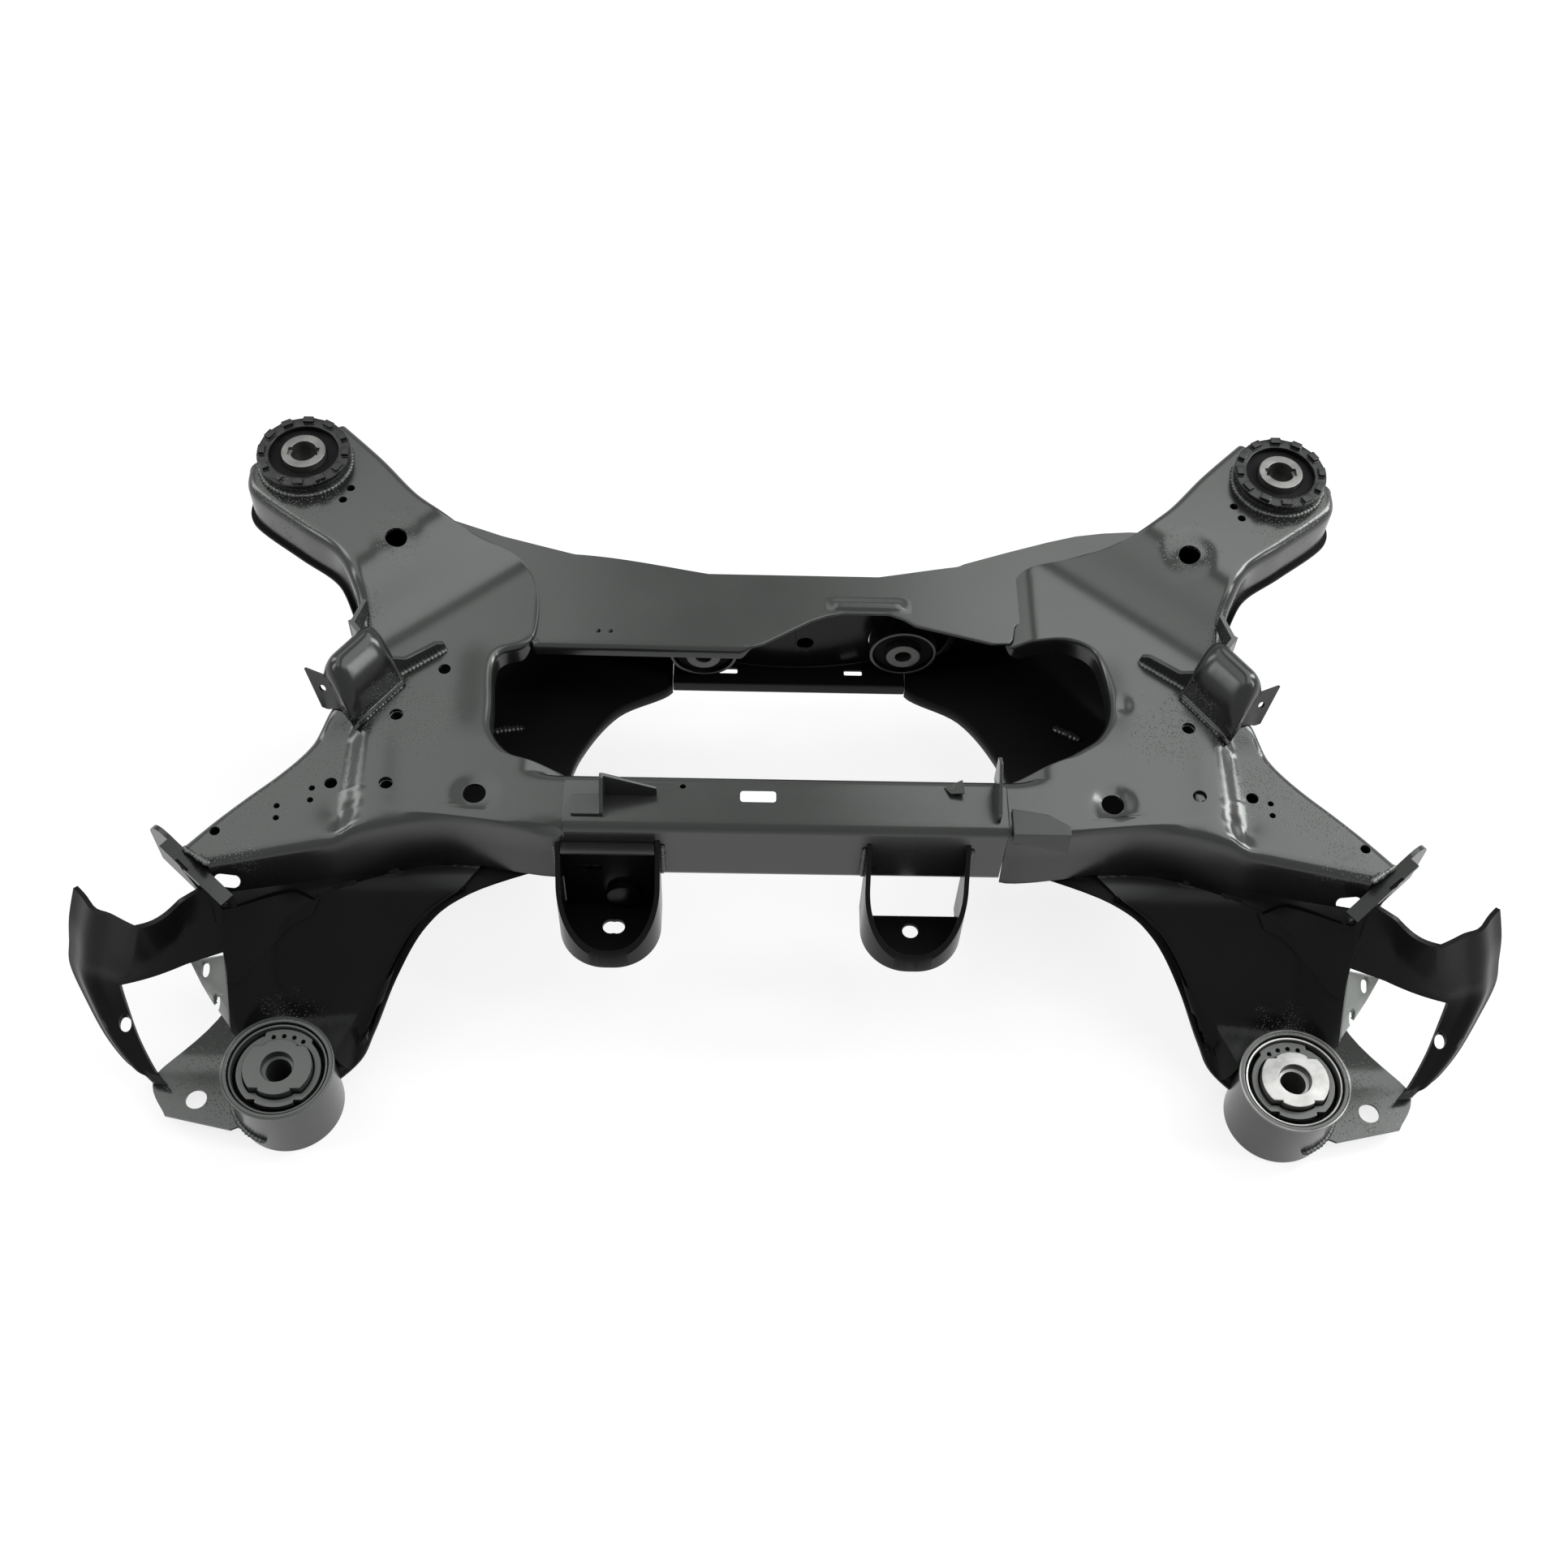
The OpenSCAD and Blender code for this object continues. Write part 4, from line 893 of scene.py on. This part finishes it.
def flange_grid():
    """Leaning flange plate at the outer end of the strap."""
    a, b, c, d = (np.array(q, float) for q in FLANGE)
    grid = []
    for t in np.linspace(0, 1, 13):
        low, high = a + (b - a) * t, d + (c - d) * t
        row = []
        for k in np.linspace(0, 1, 13):
            lx, ly, lz = low + (high - low) * k
            x, y = saddle_plan(lx, ly)
            row.append((x, y, DECK + GAP + lz - (1 - k) * 6 * smooth((x - 362) / 12)))
        grid.append(row)
    return grid


for side, word in SIDES:
    piece = sheet(f"saddle_{word}_strap", saddle_grid(), STRAP, M_SHINE, side, 50)
    put(piece, "black_coat", f"saddle_{word}")
    piece = sheet(f"saddle_{word}_flange", flange_grid(), STRAP, M_COAT, side)
    x, y = saddle_plan(51, 9.5)
    cut_holes(piece, [((side * x, y, 212), (side * 0.32, -0.87, 0.39), 3.0, 20)])
    put(piece, "black_coat")


# Weld beads: rippled tubes laid along the seams
BEAD_STEP = 0.9
BEAD_POINTS = 10
RIPPLE = 3.4


def bead(name, points, radius, side, seed):
    p = np.asarray(points, float)
    at = np.concatenate([[0], np.cumsum(np.linalg.norm(np.diff(p, axis=0), axis=1))])
    n = max(6, int(at[-1] / BEAD_STEP))
    q = np.stack([np.interp(np.linspace(0, at[-1], n), at, p[:, k]) for k in range(3)], 1)
    random = np.random.default_rng(seed)
    wobble = np.convolve(random.normal(0, 1, n + 8), np.ones(5) / 5, "same")[4:4 + n]
    v = []
    for i in range(n):
        ahead = q[min(n - 1, i + 1)] - q[max(0, i - 1)]
        ahead = ahead / max(1e-9, np.linalg.norm(ahead))
        up = np.array([0, 0, 1.0]) if abs(ahead[2]) < 0.8 else np.array([0, -1.0, 0])
        across = np.cross(ahead, up)
        across /= np.linalg.norm(across)
        out = np.cross(across, ahead)
        r = radius * (1 + 0.16 * math.sin(i * BEAD_STEP * 2 * math.pi / RIPPLE) + 0.16 * wobble[i])
        r *= min(1, 0.35 + 0.25 * min(i, n - 1 - i))
        for a in np.arange(BEAD_POINTS) * 2 * math.pi / BEAD_POINTS:
            w = q[i] + r * (1.25 * math.cos(a) * across + 0.8 * math.sin(a) * out)
            v.append((side * w[0], w[1], w[2]))
    f = loop_faces(n, BEAD_POINTS, False)
    return put(new_object(name, metres(v), flip(f) if side < 0 else f, M_WELD, 60), "black_coat")


def ring(x, y, z, radius, first, last):
    """Arc in plan, with angles in degrees."""
    angles = np.radians(np.linspace(first, last, 73))
    return [(x + radius * math.cos(a), y + radius * math.sin(a), z) for a in angles]


EAR_SEAM = [(446 + 24 * t, 109.5 + 19 * t, 191 - 6 * t) for t in np.linspace(0, 1, 8)]
for side, word in SIDES:
    near_seam = [on_saddle(k, near_foot(k) - 2.5) for k in range(-4, 44, 3)]
    bead(f"weld_saddle_near_{word}", near_seam, 2.4, side, 1)
    bead(f"weld_saddle_end_{word}", [on_saddle(-5.0, k) for k in range(-15, 0, 3)], 2.2, side, 2)
    bead(f"weld_gusset_{word}", [on_saddle(-k, -6.2) for k in range(4, 54, 3)], 2.3, side, 3)
    bead(f"weld_far_collar_{word}", ring(*FAR_MOUNT, 238.6, 37.6, 150, 410), 2.4, side, 4)
    bead(f"weld_near_tab_{word}", ring(NEAR_X, 0, 18.6, 43.6, -75, 20), 2.0, side, 5)
    bead(f"weld_ear_{word}", EAR_SEAM, 2.2, side, 6)
bead("weld_pan_left", [(259, 314, 80.8), (246, 317, 80.8), (231, 319, 80.8)], 3.0, -1, 12)
bead("weld_pan_right", [(232, 329, 80.8), (244, 323, 80.8), (256, 316, 80.8)], 3.0, 1, 13)
for x, seed in ((-188.2, 7), (-103.8, 8), (55.8, 9), (140.2, 10)):
    bead(f"weld_hanger_{seed}", [(x, 143.2, z) for z in range(132, 180, 6)], 1.9, 1, seed)


# Turned trim: rims of the near bushes, rim round an axle bush and a cup behind the wall's small hole
def turned(name, centre, profile, mat, slot, count, angle, lying=False):
    """Ring of a profile of radius and height, about a centre in plan or, if lying, on the rear wall."""
    v = []
    for i in range(count):
        t = 2 * math.pi * i / count
        for r, h in profile:
            a, b = centre[0] + r * math.cos(t), centre[1] + r * math.sin(t)
            v.append((a, h, b) if lying else (a, b, h))
    return put(new_object(name, metres(v), flip(loop_faces(count, len(profile), True)), mat, angle), slot)


NEAR_SHELL = [(36.4, 57), (36.4, 62.6), (37.0, 63.6), (38.2, 63.8), (38.9, 63.0), (38.9, 57)]
NEAR_LIP = [(42.6, 64.6), (42.6, 66.6), (43.3, 67.2), (44.2, 66.8), (44.4, 65.8), (43.9, 64.6)]
for side, word in SIDES:
    metal = M_DARK if side < 0 else M_BARE
    turned(f"near_shell_{word}", (side * NEAR_X, 0), NEAR_SHELL, metal, "bush_metal", 96, 40)
    turned(f"near_lip_{word}", (side * NEAR_X, 0), NEAR_LIP, metal, "bare_steel", 96, 40)
rim_y = y_wall(AXLE_RIGHT[0]) - 3.4
rim = [(44 + 3.2 * math.cos(a), rim_y + 1.6 * math.sin(a)) for a in np.arange(8) * math.pi / 4]
turned("axle_dish_rim", AXLE_RIGHT, rim, M_COAT, "black_coat", 72, 60, lying=True)
# The cup is in the painted-shade coat, so the small hole shows dark
CUP = [(0.4, 399.0), (10.5, 399.0), (10.5, 392.9), (8.6, 392.9), (8.6, 397.4), (0.4, 397.4)]
turned("wall_hole_cup", WALL_HOLE, CUP, M_SHADE, "black_coat", 40, 40, lying=True)

# Rust flake inside the left near bush
FLAKE_STEPS = 24
FLAKE_RADIUS = 35.2
random = np.random.default_rng(11)
flake = []
for i in range(FLAKE_STEPS + 1):
    t = math.radians(226 + 52 * i / FLAKE_STEPS)
    w = 1.2 + 2.2 * math.sin(math.pi * i / FLAKE_STEPS) * random.uniform(0.55, 1.25)
    foot = (FLAKE_RADIUS, 57.5 + random.uniform(0, 0.8))
    crest = (FLAKE_RADIUS + w, 59.5 + random.uniform(0, 2.2))
    for r, z in (foot, crest, (FLAKE_RADIUS + 1 + w, 57.2)):
        flake.append((-NEAR_X + r * math.cos(t), r * math.sin(t), z))
faces = flip(loop_faces(FLAKE_STEPS + 1, 3, False))
put(new_object("rust_flake", metres(flake), faces, M_RUST, 30), "bare_steel")

# Blank label with rounded corners on the tube top
LABEL_ROUND = 2.5
LABEL_CORNERS = [(-17.5, 175.5, 0), (-40.5, 175.5, 90), (-40.5, 170.5, 180), (-17.5, 170.5, 270)]
outline = [(x + LABEL_ROUND * math.cos(t), y + LABEL_ROUND * math.sin(t)) for x, y, a in LABEL_CORNERS
           for t in np.radians(np.linspace(a, a + 90, 7))]
label = [(x, y, DECK + h) for h in (0.05, 0.35) for x, y in outline]
put(new_object("blank_label", metres(label), loop_faces(2, len(outline), False), M_LABEL, 30), "black_coat")

# Torn clip left on the tube top
CLIP = [(117, 184, 200.1), (132, 191, 200.1), (132, 176, 204.5), (122, 177, 202.5),
        (117.5, 184, 201.2), (132, 191.4, 201.3), (132.6, 176, 205.7), (122, 176.4, 203.7)]
put(new_object("torn_clip", metres(CLIP), flip(loop_faces(2, 4, False)), M_ROUGH, 30), "black_coat")

# Solids kept as packed: split corners welded, edges rounded, coated
KEEP = {"near_sleeve": M_COAT, "far_sleeve": M_ROUGH, "axle_sleeve": M_COAT, "near_rubber": M_RUBBER,
        "far_rubber": M_RUBBER, "axle_rubber": M_RUBBER, "near_core": M_DARK, "far_core": M_CORE,
        "axle_core": M_BUSH, "near_limiter": M_DARK, "far_ring": M_RING, "hanger": M_SHADE,
        "hanger_back_plate": M_SHADE, "fork_inner": M_SHINE, "leg_cheek": M_CHEEK_PAINTED_LIGHT, "far_rear_wall": M_WALL_SHADED,
        "overlap_tab": M_TAB}
ROUND = {"near_crossmember": 0.0, "far_rear_wall": 1.2, "near_sleeve": 0.8, "far_sleeve": 0.8}
PLAIN_ROUND = 0.7
for word, piece in nodes.items():
    stem = word.rsplit("_", 1)[0] if word.endswith(("_left", "_right")) else word
    piece.data.materials.clear()
    piece.data.materials.append(M_BARE if word == "near_core_right" else KEEP.get(stem, M_COAT))
    weld = piece.modifiers.new("weld", "WELD")
    weld.merge_threshold = 0.00001
    width = ROUND.get(stem, PLAIN_ROUND)
    if width:
        edge = piece.modifiers.new("edge", "BEVEL")
        edge.width = width * MM
        edge.segments = 2
        edge.limit_method = "ANGLE"
        edge.angle_limit = math.radians(40)
    flat = piece.modifiers.new("flat", "WEIGHTED_NORMAL")
    flat.weight = 80
    flat.keep_sharp = False


# Floor and world, white where the camera or a reflection sees them
def seen_rays(graph):
    path = add(graph, "ShaderNodeLightPath")
    seen = math_node(graph, "MAXIMUM", path.outputs["Is Camera Ray"], path.outputs["Is Glossy Ray"])
    return math_node(graph, "MAXIMUM", seen, path.outputs["Is Transmission Ray"])


material, graph, shader = tree("studio_floor")
graph.nodes.remove(shader)
matt = add(graph, "ShaderNodeBsdfDiffuse", Color=(0.9, 0.9, 0.9, 1))
white = add(graph, "ShaderNodeEmission", Color=(1, 1, 1, 1), Strength=1.0)
blend = add(graph, "ShaderNodeMixShader")
graph.links.new(math_node(graph, "MULTIPLY", seen_rays(graph), 0.8), blend.inputs[0])
graph.links.new(matt.outputs[0], blend.inputs[1])
graph.links.new(white.outputs[0], blend.inputs[2])
graph.links.new(blend.outputs[0], graph.get_output_node("ALL").inputs[0])
floor_z = cad_box[0][2] - 0.0005
square = [(-6, -6, floor_z), (6, -6, floor_z), (6, 6, floor_z), (-6, 6, floor_z)]
new_object("studio_floor", square, [(0, 1, 2, 3)], material, 0)

world = bpy.data.worlds.new("studio")
bpy.context.scene.world = world
world.use_nodes = True
graph = world.node_tree
background = graph.nodes["Background"]
background.inputs["Color"].default_value = (1, 1, 1, 1)
strength = math_node(graph, "ADD", math_node(graph, "MULTIPLY", seen_rays(graph), 0.76), 0.14)
graph.links.new(strength, background.inputs["Strength"])


# Lamps: place, aim and size in metres, power in watts
def area(name, place, aim, size, power):
    lamp = bpy.data.lights.new(name, "AREA")
    lamp.shape = "RECTANGLE"
    lamp.size, lamp.size_y = size
    lamp.energy = power
    piece = bpy.data.objects.new(name, lamp)
    piece.location = place
    piece.rotation_euler = (Vector(aim) - Vector(place)).to_track_quat("-Z", "Y").to_euler()
    bpy.context.scene.collection.objects.link(piece)


area("overhead_left", (-1.4, 1.0, 3.2), (-1.4, 0.6, 0), (2.0, 4.4), 56)
area("overhead_right", (1.6, 1.0, 3.2), (1.6, 0.6, 0), (2.4, 4.4), 108)
area("left_rim", (-2.1, 1.1, 1.5), (-0.3, 0.25, 0.2), (0.7, 1.6), 22)
area("right_rim", (2.1, 1.1, 1.5), (0.3, 0.25, 0.2), (0.7, 1.6), 52)
area("left_strip", (-2.3, -0.3, 1.7), (-0.3, 0.2, 0.15), (0.35, 1.6), 16)
area("right_strip", (2.3, -0.3, 1.7), (0.3, 0.2, 0.15), (0.35, 1.6), 22)

# Camera at the photograph's viewing angle
PITCH = math.radians(56.32)
YAW = math.radians(2.99)
ROLL = math.radians(3.45)
forward = Vector((math.sin(YAW) * math.cos(PITCH), math.cos(YAW) * math.cos(PITCH), -math.sin(PITCH)))
level = Vector((math.cos(YAW), -math.sin(YAW), 0))
steep = forward.cross(level)
right = level * math.cos(ROLL) - steep * math.sin(ROLL)
down = level * math.sin(ROLL) + steep * math.cos(ROLL)
lens = bpy.data.cameras.new("photo_view")
lens.lens = 44.72
lens.sensor_width = 36.0
lens.clip_start = 0.05
lens.clip_end = 50
camera = bpy.data.objects.new("photo_view", lens)
pose = Matrix((right, -down, -forward)).transposed().to_4x4()
pose.translation = Vector(CAMERA) * MM
camera.matrix_world = pose
bpy.context.scene.collection.objects.link(camera)
bpy.context.scene.camera = camera
bpy.context.scene.view_settings.view_transform = "Standard"
